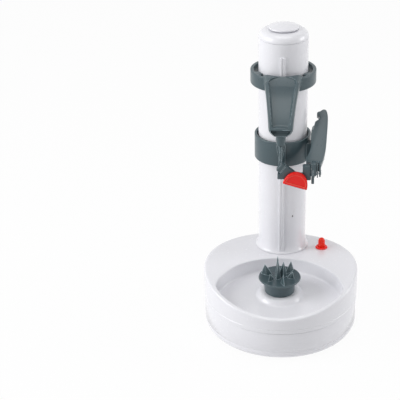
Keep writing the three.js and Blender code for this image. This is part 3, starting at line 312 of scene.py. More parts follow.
def copied_node(node, name):
    """A merged copy of a node's mesh, to be worked on."""
    piece = bpy.data.objects.new(name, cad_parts[node].data.copy())
    bpy.context.scene.collection.objects.link(piece)
    with editing(piece):
        bpy.ops.mesh.select_all(action="SELECT")
        bpy.ops.mesh.remove_doubles(threshold=MERGE)
    return piece


def spread(piece, stem, places):
    """Numbered copies of a piece, each with its own mesh, one at each place; the first model goes."""
    copies = [copied(piece, place, f"{stem}_{k + 1}") for k, place in enumerate(places)]
    bpy.data.objects.remove(piece)
    return copies


def gathered(piece, *others):
    """Puts other meshes into a piece's mesh as they are."""
    choose(piece)
    for other in others:
        other.select_set(True)
    bpy.ops.object.join()
    return piece


def moulded(piece, voxel=0.4 * MM, smoothing=6, kept=0.5):
    """Melts a piece's joins into moulded fillets."""
    modified(piece, "REMESH", mode="VOXEL", voxel_size=voxel, use_smooth_shade=True)
    modified(piece, "SMOOTH", factor=0.5, iterations=smoothing)
    return modified(piece, "DECIMATE", ratio=kept)


def finished(piece, body, paint, *nodes, slot=None, angle=32):
    """Shades a piece, gives it its material and body, and hides the nodes that it stands for."""
    settled(piece)
    bpy.ops.object.shade_smooth_by_angle(angle=math.radians(angle))
    piece.data.materials.clear()
    piece.data.materials.append(material(paint))
    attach(piece, body)
    if nodes:
        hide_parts(*nodes)
    return piece


# Outlines

def rounded(corners, steps=5):
    """Closed outline of (a, b, fillet) corners, each fillet drawn as an arc."""
    points = []
    count = len(corners)
    for k, (a, b, fillet) in enumerate(corners):
        here = Vector((a, b))
        if not fillet:
            points.append(here)
            continue
        last = Vector(corners[k - 1][:2]) - here
        after = Vector(corners[(k + 1) % count][:2]) - here
        half = last.angle(after) / 2
        reach = min(fillet / math.tan(half), 0.49 * last.length, 0.49 * after.length)
        radius = reach * math.tan(half)
        middle = here + (last.normalized() + after.normalized()).normalized() * radius / math.sin(half)
        start = here + last.normalized() * reach - middle
        sweep = start.angle_signed(here + after.normalized() * reach - middle)
        for step in range(steps + 1):
            turn = Matrix.Rotation(-sweep * step / steps, 2)
            points.append(middle + turn @ start)
    return points


def smoothed(points, steps=4):
    """Closed curve through points, with a few steps between each two."""
    curve = []
    count = len(points)
    for k in range(count):
        before, here, after, beyond = (Vector(points[(k + n) % count]) for n in (-1, 0, 1, 2))
        for step in range(steps):
            t = step / steps
            curve.append(0.5 * (2 * here + (after - before) * t
                                + (2 * before - 5 * here + 4 * after - beyond) * t * t
                                + (3 * here - before - 3 * after + beyond) * t ** 3))
    return curve


def evenly(start, end, steps):
    """Even steps from one value to another, both included."""
    return [start + (end - start) * k / steps for k in range(steps + 1)]


def quarter_turn(steps):
    """Sine and cosine at each step of a quarter turn."""
    turns = [QUARTER * k / steps for k in range(steps + 1)]
    return [(math.sin(turn), math.cos(turn)) for turn in turns]


def half_oval(width, height, lift=0.0):
    """Upper half of an oval as points."""
    turns = [math.pi * k / 24 for k in range(25)]
    return [(width * math.cos(turn), lift + height * math.sin(turn)) for turn in turns]


def arc(middle, radius, start, end, steps=6):
    """Points of an arc as (a, b, 0) corners, between two angles in degrees."""
    angles = [math.radians(start + (end - start) * k / steps) for k in range(steps + 1)]
    return [(middle[0] + radius * math.cos(t), middle[1] + radius * math.sin(t), 0) for t in angles]


# Solids

def turned(name, corners, x=0.0, y=0.0, facets=96):
    """Spins a closed outline of (radius, height, fillet) corners round an upright line."""
    outline = rounded(corners)
    bpy.ops.mesh.primitive_circle_add(vertices=len(outline), radius=MM, location=(0, 0, 0))
    piece = started(name)
    with editing(piece) as mesh:
        for vertex, (radius, height) in zip(mesh.verts, outline):
            vertex.co = (x + radius, y, height)
        bpy.ops.mesh.select_all(action="SELECT")
        bpy.ops.mesh.spin(steps=facets, angle=2 * math.pi, center=(x, y, 0), axis=(0, 0, 1))
        closed()
    return piece


def laid(name, across, along, place):
    """Lays a grid over a surface: place gives the point for each step across and along."""
    bpy.ops.mesh.primitive_grid_add(x_subdivisions=across, y_subdivisions=along, size=1)
    piece = started(name)
    with editing(piece) as mesh:
        for vertex in mesh.verts:
            u = round((vertex.co.x + 0.5) * across)
            v = round((vertex.co.y + 0.5) * along)
            vertex.co = place(u, v)
        closed()
    return piece


def lofted(name, sections):
    """Skin over a row of closed sections, with both ends filled."""
    count = len(sections[0])
    piece = laid(name, count, len(sections) - 1, lambda u, v: sections[v][u % count])
    with editing(piece):
        bpy.ops.mesh.select_all(action="SELECT")
        bpy.ops.mesh.fill_holes(sides=0)
        bpy.ops.mesh.select_all(action="SELECT")
        bpy.ops.mesh.normals_make_consistent(inside=False)
    return piece


def plate(name, outline, depth, basis=None, edge=0.0, segments=3):
    """Gives a flat outline its depth, rounds its edges and stands it on a basis."""
    bpy.ops.mesh.primitive_circle_add(vertices=len(outline), radius=MM, fill_type="NGON", location=(0, 0, 0))
    piece = started(name)
    with editing(piece) as mesh:
        for vertex, (a, b) in zip(mesh.verts, outline):
            vertex.co = (a, b, 0)
        bpy.ops.mesh.select_all(action="SELECT")
        bpy.ops.mesh.extrude_region_move(TRANSFORM_OT_translate={"value": (0, 0, depth)})
        closed()
    if edge:
        modified(piece, "BEVEL", width=edge, segments=segments, limit_method="ANGLE",
                 angle_limit=math.radians(50), use_clamp_overlap=True)
    piece.matrix_world = basis or Matrix.Identity(4)
    return settled(piece)


def block(name, low, high, edge=0.0, segments=3):
    """Box between two corners with rounded edges."""
    low, high = Vector(low), Vector(high)
    bpy.ops.mesh.primitive_cube_add(size=1, location=(low + high) / 2)
    piece = started(name)
    piece.scale = high - low
    settled(piece)
    if edge:
        modified(piece, "BEVEL", width=edge, segments=segments, limit_method="NONE",
                 use_clamp_overlap=True)
    return piece


def post(name, x, y, low, high, radius, facets=48, edge=0.0):
    """Upright round bar, with its ends rounded."""
    return turned(name, [(0, low, 0), (radius, low, edge), (radius, high, edge), (0, high, 0)], x, y, facets)


def bar(name, axis, start, end, b, z, radius, facets=32, edge=0.0):
    """Round bar along X or Y."""
    piece = post(name, 0, 0, 0, end - start, radius, facets, edge)
    if axis == "x":
        piece.matrix_world = moved((start, b, z), QUARTER, "Y")
    else:
        piece.matrix_world = moved((b, start, z), -QUARTER, "X")
    return settled(piece)


def spike(name, tall, wide, thin, lean):
    """Four-sided point on the ground at the middle, which narrows and leans to a tip."""
    bpy.ops.mesh.primitive_cone_add(vertices=4, radius1=1, radius2=0.04, depth=1, location=(0, 0, 0.5))
    piece = started(name)
    settled(piece)
    with editing(piece):
        bpy.ops.mesh.subdivide(number_cuts=3)
    for vertex in piece.data.vertices:
        swell = 1 + 0.35 * math.sin(math.pi * vertex.co.z) * vertex.co.z
        vertex.co.x = vertex.co.x * wide * swell + lean * vertex.co.z ** 1.5
        vertex.co.y *= thin * swell
        vertex.co.z *= tall
    return piece


# Finishes


def new_group(name, inputs):
    """Empty node group with its inputs, its three results and the place on the piece."""
    group = bpy.data.node_groups.new(name, "ShaderNodeTree")

    def socket(label, way, kind):
        return group.interface.new_socket(name=label, in_out=way, socket_type=f"NodeSocket{kind}")

    for label, value in inputs.items():
        kind = "Color" if isinstance(value, tuple) else "Float"
        socket(label, "INPUT", kind).default_value = value
    for label, kind in (("Colour", "Color"), ("Roughness", "Float"), ("Height", "Float")):
        socket(label, "OUTPUT", kind)
    given = group.nodes.new("NodeGroupInput").outputs
    return group, given, group.nodes.new("ShaderNodeTexCoord").outputs["Object"]


def handed_out(group, colour, roughness, height):
    """Wires a group's three results."""
    results = group.nodes.new("NodeGroupOutput").inputs
    for label, value in (("Colour", colour), ("Roughness", roughness), ("Height", height)):
        group.links.new(value, results[label])
    return group


def wired(tree, kind, inputs, **values):
    """Adds a node, sets its values and fills its inputs with numbers, colours or other sockets."""
    node = tree.nodes.new(kind)
    for key, value in values.items():
        setattr(node, key, value)
    for key, value in inputs.items():
        if isinstance(value, bpy.types.NodeSocket):
            tree.links.new(value, node.inputs[key])
        else:
            node.inputs[key].default_value = value
    return node


def mixed(tree, share, first, second):
    """Colour mix of two sockets or colours."""
    return wired(tree, "ShaderNodeMix", {0: share, 6: first, 7: second}, data_type="RGBA").outputs[2]


def moulded_skin():
    """Group for moulded plastic: cloudy tone, fine grain, and a painted highlight that lightens the edges."""
    tree, given, place = new_group("Moulded skin", {
        "Colour": (0.8, 0.8, 0.8, 1), "Edge colour": (1, 1, 1, 1), "Cloud": 0.06, "Edge share": 0.5,
        "Gloss": 0.3, "Grain scale": 2200.0})
    cloud = wired(tree, "ShaderNodeTexNoise", {"Vector": place, "Scale": 34.0, "Detail": 3.0})
    grain = wired(tree, "ShaderNodeTexNoise", {"Vector": place, "Scale": given["Grain scale"], "Detail": 2.0})
    specks = wired(tree, "ShaderNodeTexNoise", {"Vector": place, "Scale": 520.0, "Detail": 4.0})
    dark = wired(tree, "ShaderNodeMath", {0: cloud.outputs["Fac"], 1: given["Cloud"]}, operation="MULTIPLY")
    toned = mixed(tree, dark.outputs[0], given["Colour"], (0.0, 0.0, 0.005, 1))
    # Painted highlight: where the bevel normal parts from the surface's normal, the edges are painted towards
    # a lighter colour
    bevel = wired(tree, "ShaderNodeBevel", {"Radius": 0.6 * MM}, samples=8)
    normal = tree.nodes.new("ShaderNodeNewGeometry").outputs["Normal"]
    match = wired(tree, "ShaderNodeVectorMath", {0: bevel.outputs[0], 1: normal}, operation="DOT_PRODUCT")
    painted_edge_highlight = wired(tree, "ShaderNodeMapRange", {"Value": match.outputs["Value"], "From Min": 0.997,
                                              "From Max": 0.9, "To Min": 0.0, "To Max": 1.0})
    share = wired(tree, "ShaderNodeMath", {0: painted_edge_highlight.outputs[0], 1: given["Edge share"]}, operation="MULTIPLY")
    with_painted_highlight = mixed(tree, share.outputs[0], toned, given["Edge colour"])
    rough = wired(tree, "ShaderNodeMapRange", {"Value": specks.outputs["Fac"], "From Min": 0.3,
                                               "From Max": 0.7, "To Min": -0.03, "To Max": 0.04})
    gloss = wired(tree, "ShaderNodeMath", {0: given["Gloss"], 1: rough.outputs[0]}, operation="ADD")
    return handed_out(tree, with_painted_highlight, gloss.outputs[0], grain.outputs["Fac"])


def drawn_metal():
    """Group for metal: fine drawn lines and faint stains."""
    tree, given, place = new_group("Drawn metal", {"Colour": (0.6, 0.6, 0.6, 1), "Gloss": 0.25})
    stretched = wired(tree, "ShaderNodeMapping", {"Vector": place, "Scale": (1, 1, 0.06)})
    lines = wired(tree, "ShaderNodeTexNoise", {"Vector": stretched.outputs[0], "Scale": 3400.0,
                                               "Detail": 2.0})
    stain = wired(tree, "ShaderNodeTexNoise", {"Vector": place, "Scale": 90.0, "Detail": 4.0})
    dull = wired(tree, "ShaderNodeMapRange", {"Value": stain.outputs["Fac"], "From Min": 0.35,
                                              "From Max": 0.75, "To Min": 0.0, "To Max": 0.3})
    toned = mixed(tree, dull.outputs[0], given["Colour"], (0.18, 0.17, 0.16, 1))
    gloss = wired(tree, "ShaderNodeMath", {0: dull.outputs[0], 1: 0.4, 2: given["Gloss"]},
                  operation="MULTIPLY_ADD")
    return handed_out(tree, toned, gloss.outputs[0], lines.outputs["Fac"])


# Finish of each plastic: gloss, cloud, share and colour of the painted edge highlight, grain scale, bump,
# coat weight
PLASTICS = {
    "white": (0.24, 0.03, 0.25, (1, 1, 1, 1), 1800.0, 0.02, 0.3),
    "slate": (0.3, 0.22, 1.0, (0.5, 0.6, 0.64, 1), 1500.0, 0.08, 0.0),
    "red": (0.2, 0.10, 0.7, (1.0, 0.3, 0.2, 1), 1400.0, 0.03, 0.1),
    "button": (0.26, 0.12, 0.4, (1.0, 0.4, 0.25, 1), 1400.0, 0.03, 0.05),
    "rubber": (0.72, 0.3, 0.3, (0.2, 0.2, 0.21, 1), 900.0, 0.3, 0.0),
    "nylon": (0.46, 0.1, 0.3, (1, 1, 0.95, 1), 1200.0, 0.06, 0.0),
    "jacket": (0.3, 0.12, 0.5, (0.5, 0.6, 0.56, 1), 1600.0, 0.04, 0.3),
    "black": (0.45, 0.2, 0.35, (0.2, 0.2, 0.22, 1), 1300.0, 0.12, 0.0),
    "sleeve": (0.5, 0.2, 0.2, (1, 0.4, 0.35, 1), 1000.0, 0.08, 0.0),
}
METALS = {"steel": 0.24, "brass": 0.3}


def shader_of(name):
    """A new material with its nodes and its shader."""
    made = bpy.data.materials.new(name)
    made.use_nodes = True
    return made, made.node_tree, made.node_tree.nodes["Principled BSDF"]


def bumped(tree, shader, height, strength, distance=0.05 * MM):
    """Gives a shader its fine relief."""
    bump = wired(tree, "ShaderNodeBump", {"Height": height, "Strength": strength, "Distance": distance})
    tree.links.new(bump.outputs[0], shader.inputs["Normal"])


def skinned(paint, group, maker, values):
    """A new material whose shader wears a node group with its values, made once."""
    made, tree, shader = shader_of(f"{paint}_finish")
    skin = tree.nodes.new("ShaderNodeGroup")
    skin.node_tree = bpy.data.node_groups.get(group) or maker()
    for key, value in values.items():
        skin.inputs[key].default_value = value
    tree.links.new(skin.outputs["Colour"], shader.inputs["Base Color"])
    tree.links.new(skin.outputs["Roughness"], shader.inputs["Roughness"])
    return made, tree, shader, skin.outputs["Height"]


def plastic(paint, colour):
    """Moulded plastic, with a thin coat where it shines."""
    gloss, cloud, edge, painted_highlight_colour, scale, strength, coat = PLASTICS[paint]
    # The edge share and edge colour of each plastic set the painted highlight along its edges
    made, tree, shader, height = skinned(paint, "Moulded skin", moulded_skin, {
        "Colour": colour, "Edge colour": painted_highlight_colour, "Cloud": cloud, "Edge share": edge, "Gloss": gloss,
        "Grain scale": scale})
    shader.inputs["Coat Weight"].default_value = coat
    shader.inputs["Coat Roughness"].default_value = 0.1
    shader.inputs["Specular IOR Level"].default_value = 0.3 if paint in ("red", "button") else 0.5
    bumped(tree, shader, height, strength)
    return made


def metal(paint, colour):
    """Steel or brass."""
    made, tree, shader, height = skinned(paint, "Drawn metal", drawn_metal,
                                         {"Colour": colour, "Gloss": METALS[paint]})
    shader.inputs["Metallic"].default_value = 1.0
    bumped(tree, shader, height, 0.15, 0.02 * MM)
    return made


def laminate(paint, colour):
    """Board: green lacquer over straight copper tracks."""
    made, tree, shader = shader_of(f"{paint}_finish")
    place = tree.nodes.new("ShaderNodeTexCoord").outputs["Object"]
    tracks = wired(tree, "ShaderNodeTexBrick", {"Vector": place, "Scale": 120.0, "Mortar Size": 0.06,
                                                "Color1": colour, "Color2": colour,
                                                "Mortar": (0.10, 0.34, 0.14, 1)})
    cloud = wired(tree, "ShaderNodeTexNoise", {"Vector": place, "Scale": 200.0, "Detail": 3.0})
    toned = mixed(tree, cloud.outputs["Fac"], tracks.outputs["Color"], (0.02, 0.10, 0.04, 1))
    tree.links.new(toned, shader.inputs["Base Color"])
    shader.inputs["Roughness"].default_value = 0.4
    bumped(tree, shader, tracks.outputs["Fac"], 0.2)
    return made


def material(paint):
    """The finish of that name, made once."""
    known = bpy.data.materials.get(f"{paint}_finish")
    if known:
        return known
    colour = tuple(getattr(bpy.context.scene.peeler_colours, paint))
    maker = metal if paint in METALS else plastic if paint in PLASTICS else laminate
    return maker(paint, colour)


# Pieces of the base

# Most that the two fillets take of the land beside the tray, and the heel's of the tray's depth
RIM_SHARE, LIP_SHARE, HEEL_SHARE = 0.36, 0.24, 0.8
# Shares of the cone's slope, each with the swell there in mm
CONE_SWELL = [(0.05, 0.25), (0.2, 0.2), (0.4, 0.45), (0.6, 0.55), (0.8, 0.45), (0.92, 0.1)]


def across_circle(direction, middle_y, radius):
    """Distance from the spindle along a direction to a circle on the middle line."""
    offset = spindle_y - middle_y
    run = offset * direction.y
    return math.sqrt(run ** 2 - offset ** 2 + radius ** 2) - run


def housing_profile(size, direction):
    """Points down one spoke of the housing, from the seam over the rim and the tray to the bore."""
    outer = across_circle(direction, 0, base_radius)
    back = across_circle(direction, size.tray_back - size.tray_radius, size.tray_radius)
    front = across_circle(direction, 0, base_radius - size.tray_lip)
    soft = size.tray_corner
    nearest = min(back, front)
    tray = nearest - soft * math.log(math.exp((nearest - back) / soft) + math.exp((nearest - front) / soft))
    land = outer - tray

    def spot(reach):
        return spindle_y + direction.y * reach

    def rim(reach):
        return rim_height(size, spot(reach))

    def floor(reach):
        return floor_height(size, spot(reach))

    fillet = min(size.rim_fillet, RIM_SHARE * land)
    edge = min(size.tray_fillet, LIP_SHARE * land)
    low = size.seam + FIT
    top = rim(outer) - fillet
    line = size.groove
    hair = 0.25 * MM
    points = [(outer - hair, low), (outer, low + hair), (outer, line - hair), (outer - hair, line),
              (outer, line + hair)]
    points += [(outer, height) for height in evenly(line + hair, top, 3)[1:-1]]
    for sine, cosine in quarter_turn(6):
        reach = outer - fillet * (1 - cosine)
        points.append((reach, rim(reach) - fillet * (1 - sine)))
    inner = tray + edge
    points += [(reach, rim(reach)) for reach in evenly(outer - fillet, inner, 10)[1:-1]]
    for sine, cosine in quarter_turn(5):
        reach = inner - edge * sine
        points.append((reach, rim(reach) - edge * (1 - cosine)))
    foot = tray - size.tray_draft
    depth = max(rim(tray) - edge - floor(foot), SOFT)
    heel = min(size.floor_fillet, HEEL_SHARE * depth)
    for sine, cosine in quarter_turn(6):
        reach = foot - heel * (1 - cosine)
        points.append((reach, floor(reach) + heel * (1 - sine)))
    cone = size.cone_radius + 1.2 * MM
    points += [(reach, floor(reach)) for reach in evenly(foot - heel, cone, 10)[1:]]
    peak = floor_height(size, spindle_y) + size.cone_height
    ledge = peak - size.ledge_drop
    ground = floor(size.cone_radius)
    slope = size.cone_radius - size.cone_top
    points += [(size.cone_radius - slope * share + bulge * MM, ground + (ledge - ground) * share)
               for share, bulge in CONE_SWELL]
    collar, bore = size.collar_radius, size.cone_bore
    small, blunt = 0.4 * MM, 0.5 * MM
    points += [(size.cone_top - small, ledge - 0.12 * MM), (size.cone_top - 1.4 * MM, ledge),
               (collar + small, ledge), (collar, ledge + small), (collar, peak - blunt),
               (collar - blunt, peak), (bore + blunt, peak), (bore, peak - small), (bore, peak - 3 * MM)]
    return points


def make_housing(size):
    """Upper shell: spokes from the spindle out to the seam, given their wall, with a lip inside."""
    count = size.facets
    spokes = []
    for k in range(count):
        turn = 2 * math.pi * k / count
        direction = Vector((math.cos(turn), math.sin(turn)))
        spokes.append([(direction.x * reach, spindle_y + direction.y * reach, height)
                       for reach, height in housing_profile(size, direction)])
    shell = laid("base_shell", count, len(spokes[0]) - 1, lambda u, v: spokes[u % count][v])
    if max(shell.data.polygons, key=lambda face: face.center.z).normal.z < 0:
        with editing(shell):
            bpy.ops.mesh.select_all(action="SELECT")
            bpy.ops.mesh.flip_normals()
    modified(shell, "SOLIDIFY", thickness=size.wall, offset=-1, use_even_offset=False)
    deck = rim_height(size, column_y)
    low, high = deck - 12 * MM, deck + 12 * MM
    cut(shell, post("column_bore", 0, column_y, low, high, column_radius + FIT, 96),
        post("button_bore", button_x, button_y, low, high, BUTTON_BORE, 48))
    reach = pan_high.x - size.wall - FIT
    inner, outer = reach - size.wall, base_radius - size.wall / 2
    lip_low, shelf, lip_top = size.seam - 3 * MM, size.seam + FIT + 1 * MM, size.seam + FIT + size.wall
    joined(shell, turned("lip", [(inner, lip_low, SMALL), (reach, lip_low, SMALL), (reach, shelf, 0),
                                 (outer, shelf, 0), (outer, lip_top, 0), (inner, lip_top, 0)],
                         facets=size.facets))
    return finished(shell, "base", "white", "base_housing", angle=40)


def make_pan(size):
    """Lower shell, with the wells of its screws and the frame's own works inside."""
    outer, low = pan_high.x, pan_low.z
    wall = size.wall
    corner = size.pan_corner
    hair = 0.25 * MM
    curve = arc((outer - corner, low + corner), corner, -90, 0, 10)
    line = [(outer - inset, low + corner + rise * MM, 0) for inset, rise in ((0, 1), (hair, 1.3), (0, 1.6))]
    floor = low + 2.5 * MM
    profile = [(0, low, 0), (outer - corner - hair, low, 0), *curve, *line, (outer, size.seam, hair),
               (outer - wall, size.seam, hair), (outer - wall, floor, corner - wall), (0, floor, 0)]
    pan = turned("pan_shell", profile, facets=size.facets)
    works = copied_node("bottom_pan", "pan_works")
    room = post("room", 0, 0, floor - 0.2 * MM, size.seam, outer - wall - 0.2 * MM, 96)
    combined(works, "INTERSECT", [room])
    door_low, door_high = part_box("battery_door")
    cut(pan, block("bay", (door_low.x - FIT, door_low.y - FIT, 0),
                   (door_high.x + FIT, door_high.y + FIT, floor + 0.1 * MM)))
    for place in standing("housing_screw")[2]:
        x, y = place.translation.xy
        cut(pan, post("well", x, y, 0, low + 1.8 * MM, HEAD_BORE), post("hole", x, y, 0, 17 * MM, SHANK_BORE))
    gathered(pan, works)
    return finished(pan, "base", "white", "bottom_pan", angle=40)


def make_door():
    """Battery door, with five grooves for a finger and a catch."""
    low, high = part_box("battery_door")
    half_grip, half_catch = 9 * MM, 7.5 * MM
    door = block("door_panel", low, (high.x, high.y, low.z + 2 * MM), SOFT)
    grip = block("grip", (-half_grip, low.y + 7 * MM, low.z - PAST),
                 (half_grip, low.y + 8.1 * MM, low.z + 0.5 * MM))
    cut(door, *spread(grip, "grip", [Matrix.Translation((0, 2.2 * MM * k, 0)) for k in range(5)]))
    joined(door, block("catch", (-half_catch, low.y, low.z + 1 * MM),
                       (half_catch, low.y + 2.5 * MM, high.z), SMALL))
    return finished(door, "battery_door", "white", "battery_door")


def standing(stem):
    """Radius and height of the four like pieces under that name, and where each stands."""
    boxes = [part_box(f"{stem}_{k + 1}") for k in range(4)]
    low, high = boxes[0]
    places = [Matrix.Translation(((lower.x + upper.x) / 2, (lower.y + upper.y) / 2, lower.z))
              for lower, upper in boxes]
    return (high.x - low.x) / 2, high.z - low.z, places


def make_feet():
    """Rubber feet, each with a fine ring round its sole."""
    radius, tall, places = standing("rubber_foot")
    profile = [(0, 0, 0), (radius - 1.6 * MM, 0, EASED), (radius - 1.9 * MM, 0.4 * MM, 0),
               (radius - 1.2 * MM, 0, EASED), (radius, 0.2 * MM, SOFT), (radius, tall, FINE),
               (0, tall, 0)]
    for foot in spread(turned("foot", profile, facets=64), "foot", places):
        finished(foot, "base", "rubber", f"rubber_{foot.name}")


def screw_with_cross(name, long, head, shank, head_tall):
    """Pan-head screw that stands on its head, with a cross in the head."""
    profile = [(0, 0, 0), (head, 0, SOFT), (head, head_tall, 0.1 * MM), (shank, head_tall, FINE),
               (shank, long - 2 * MM, SMALL), (0.3 * MM, long, 0.1 * MM), (0, long, 0)]
    run, half = 2.2 * MM, 0.45 * MM
    slot = block("slot", (-run, -half, -PAST), (run, half, 0.8 * MM))
    return cut(turned(name, profile, facets=32), *spread(slot, "slot", [moved((0, 0, 0), k * QUARTER)
                                                                        for k in range(2)]))


def make_housing_screws():
    """Screws that hold the two shells together."""
    radius, long, places = standing("housing_screw")
    first = screw_with_cross("screw", long, radius, 1.7 * MM, 1.05 * MM)
    for screw in spread(first, "shell_screw", places):
        finished(screw, "base", "steel", screw.name.replace("shell", "housing"))


# Column

def make_column(size, base):
    """Column tube with its flared foot, front rib and rear slot."""
    level = rim_height(base, column_y)
    deck = level + size.flare_rise
    inner = column_radius - size.wall
    blunt = 0.5 * MM
    curve = [(size.flare_radius - (size.flare_radius - column_radius) * sine,
              deck + blunt + (size.flare_height - blunt) * (1 - cosine), 0)
             for sine, cosine in quarter_turn(12)]
    hair = 0.3 * MM
    profile = [(inner, tube_low.z, 0), (column_radius, tube_low.z, hair), (column_radius, deck, 0),
               (size.flare_radius - 0.2 * MM, deck, 0), *curve, (column_radius, size.tube_top, hair),
               (inner, size.tube_top, 0)]
    tube = turned("column_body", profile, 0, column_y, size.facets)
    for vertex in tube.data.vertices:
        place = vertex.co
        reach = math.hypot(place.x, place.y - column_y)
        if reach > column_radius - hair and deck - hair < place.z < deck + size.flare_height:
            share = 1 - max(0, place.z - deck) / size.flare_height
            place.z += share * (rim_height(base, place.y) - level)
    half = size.rib_width / 2
    front = column_y - column_radius
    face = front - size.rib_stand
    rib = block("rib", (-half, face, deck + 3 * MM), (half, front + 1 * MM, size.rib_top), blunt)
    half_groove = 0.7 * MM
    cut(rib, block("groove", (-half_groove, face - PAST, deck + 6 * MM),
                   (half_groove, face + 0.35 * MM, size.rib_top + PAST), 0.1 * MM))
    joined(tube, rib)
    cut(tube, block("slot", (-size.slot_width / 2, column_y, size.slot_low),
                    (size.slot_width / 2, column_y + 2 * column_radius, size.slot_high), 0.6 * MM))
    return finished(tube, "base", "white", "column_tube", angle=38)


# Pointer beside the rib: its place round the column, the spread and half width of a stroke
POINTER_TURN, POINTER_SPREAD, STROKE_HALF = (math.radians(angle) for angle in (27.5, 8.5, 1.1))
POINTER_LOW, POINTER_HIGH = 106.2 * MM, 115.5 * MM


def make_pointer():
    """Two shallow strokes that meet over a small dark tip, beside the rib."""
    strokes = []
    for side in (-1, 1):
        sections = []
        for k in range(9):
            angle = POINTER_TURN + side * POINTER_SPREAD * k / 8
            z = POINTER_LOW + (POINTER_HIGH - POINTER_LOW) * k / 8
            ring = []
            for way, stand in ((-1, -0.2), (-1, 0.12), (1, 0.12), (1, -0.2)):
                reach, turn = column_radius + stand * MM, angle + way * STROKE_HALF
                ring.append((reach * math.sin(turn), column_y - reach * math.cos(turn), z))
            sections.append(ring)
        strokes.append(lofted("stroke", sections))
    pointer = joined(*strokes)
    pointer.name = "column_pointer"
    finished(pointer, "base", "white")

    reach = column_radius - 0.25 * MM
    drop = smoothed([(a * MM, b * MM) for a, b in ((0, 1.2), (0.5, 0.3), (0.6, -0.4), (0, -1.1), (-0.6, -0.4),
                                                   (-0.5, 0.3))])
    place = moved((reach * math.sin(POINTER_TURN), column_y - reach * math.cos(POINTER_TURN),
                   POINTER_LOW - 0.6 * MM), POINTER_TURN)
    tip = plate("pointer_tip", drop, 0.5 * MM, place @ Matrix.Rotation(QUARTER, 4, "X"), 0.15 * MM)
    finished(tip, "base", "black")


def make_cap(size):
    """Domed cap on its spigot, and the lens-shaped plug in it."""
    low = size.tube_top + FIT
    top = cap_high.z
    shoulder = arc((column_radius - size.shoulder, top - size.shoulder), size.shoulder, 0, 90, 10)
    spigot = column_radius - size.wall - FIT
    stem = size.plug_stem + FIT
    well = top - 4.8 * MM
    skirt, bush, bush_top = low - 7.8 * MM, 6.4 * MM, low - 2.8 * MM
    profile = [(0, well, 0), (stem, well, 0), (stem, top, EASED), *reversed(shoulder),
               (column_radius, low, 0.12 * MM), (spigot, low, 0), (spigot, cap_low.z, SMALL),
               (spigot - size.wall, cap_low.z, SMALL), (spigot - size.wall, skirt, SOFT),
               (bush, skirt, 0), (bush, bush_top, 0), (0, bush_top, 0)]
    cap = turned("cap_dome", profile, 0, column_y, size.facets)
    finished(cap, "base", "white", "column_cap", angle=38)

    radius = size.plug_radius
    seat = top + 1 * MM
    rise = plug_high.z - seat - size.plug_rim
    lens = [(radius * (1 - share), seat + size.plug_rim + rise * (1 - (1 - share) ** 2), 0)
            for share in evenly(0, 1, 12)[1:]]
    profile = [(0, plug_low.z, 0), (size.plug_stem, plug_low.z, EASED), (size.plug_stem, seat, EASED),
               (radius, seat, SOFT), (radius, seat + size.plug_rim, SOFT), *lens]
    plug = turned("plug_lens", profile, 0, column_y, size.facets)
    finished(plug, "base", "white", "cap_plug", angle=38)


def make_lead_screw(size):
    """Lead screw with its rolled thread, which shows through the slot."""
    radius = screw_high.x
    depth, plain = 0.9 * MM, 14 * MM
    flat, flank = 1.7, 5.2
    around, per_turn = 28, 8
    start, end = screw_low.z, screw_high.z
    rows = round((end - start) / size.pitch * per_turn)

    def place(u, v):
        z = start + (end - start) * (v - 1) / (rows - 2)
        z = min(max(z, start), end)
        angle = 2 * math.pi * (u % around) / around
        phase = (z / size.pitch - u / around) % 1
        crest = min(1, max(0, flat - abs(phase - 0.5) * flank))
        threaded = min(1, max(0, (z - start - plain) / MM))
        reach = 0 if v in (0, rows) else radius - depth * (1 - crest) * threaded
        return reach * math.cos(angle), column_y + reach * math.sin(angle), z

    thread = laid("screw_thread", around, rows, place)
    return finished(thread, "screw", "steel", "lead_screw", angle=50)


# Arms

ARM_OUTER_SHARES = [(0, 0), (0.22, 0.06), (0.42, 0.15), (0.6, 0.29), (0.7, 0.46), (0.74, 0.64),
                    (0.77, 0.8), (0.76, 0.9), (0.69, 0.975), (0.55, 0.99), (0.4, 0.965)]
ARM_INNER_SHARES = [(0.27, 0.95), (0.24, 0.925), (0.31, 0.905), (0.37, 0.88), (0.34, 0.85), (0.21, 0.818),
                    (0.1, 0.79), (0.03, 0.755), (0, 0.7), (-0.03, 0.63), (-0.03, 0.56), (-0.02, 0.48),
                    (-0.07, 0.385), (-0.17, 0.31), (-0.25, 0.26), (-0.2, 0.21), (0, 0.19)]
ARM_LEAN = math.radians(41.7)
CARRIAGE_RADIUS = 27.6 * MM
RING_FACETS = 128
FOOD_ARM_DROP = 45 * MM
# Stands a flat outline up: its second axis becomes Z, and its depth runs to -Y
UPRIGHT = Matrix(((1, 0, 0, 0), (0, 0, -1, 0), (0, 1, 0, 0), (0, 0, 0, 1)))


def trough_path(size):
    """Curve of the trough's upper edge in (y, z), from the collar to the nose, with its direction."""
    start = Vector((column_y - 0.75 * (food_high.x - size.collar_wall),
                    size.collar_low + size.collar_tall + 2.8 * MM))
    bend = Vector((food_low.y / 3, size.collar_low + size.collar_tall + 3.2 * MM))
    end = Vector((food_low.y, size.nose_height))

    def path(share):
        rest = 1 - share
        point = rest * rest * start + 2 * rest * share * bend + share * share * end
        return point, (2 * rest * (bend - start) + 2 * share * (end - bend)).normalized()

    return path


# Places along the trough, as shares of its length
SCOOP_START, SCOOP_FULL, SCOOP_END = 0.1, 0.26, 0.915
CHANNEL_START, CHANNEL_END = 0.4, 0.85
MOUTH_START, MOUTH_END = 0.925, 1.06
HOOD_END = 0.25
# How far the lip's ends lie behind its middle, as a share of the length
LIP_BOW = 0.035


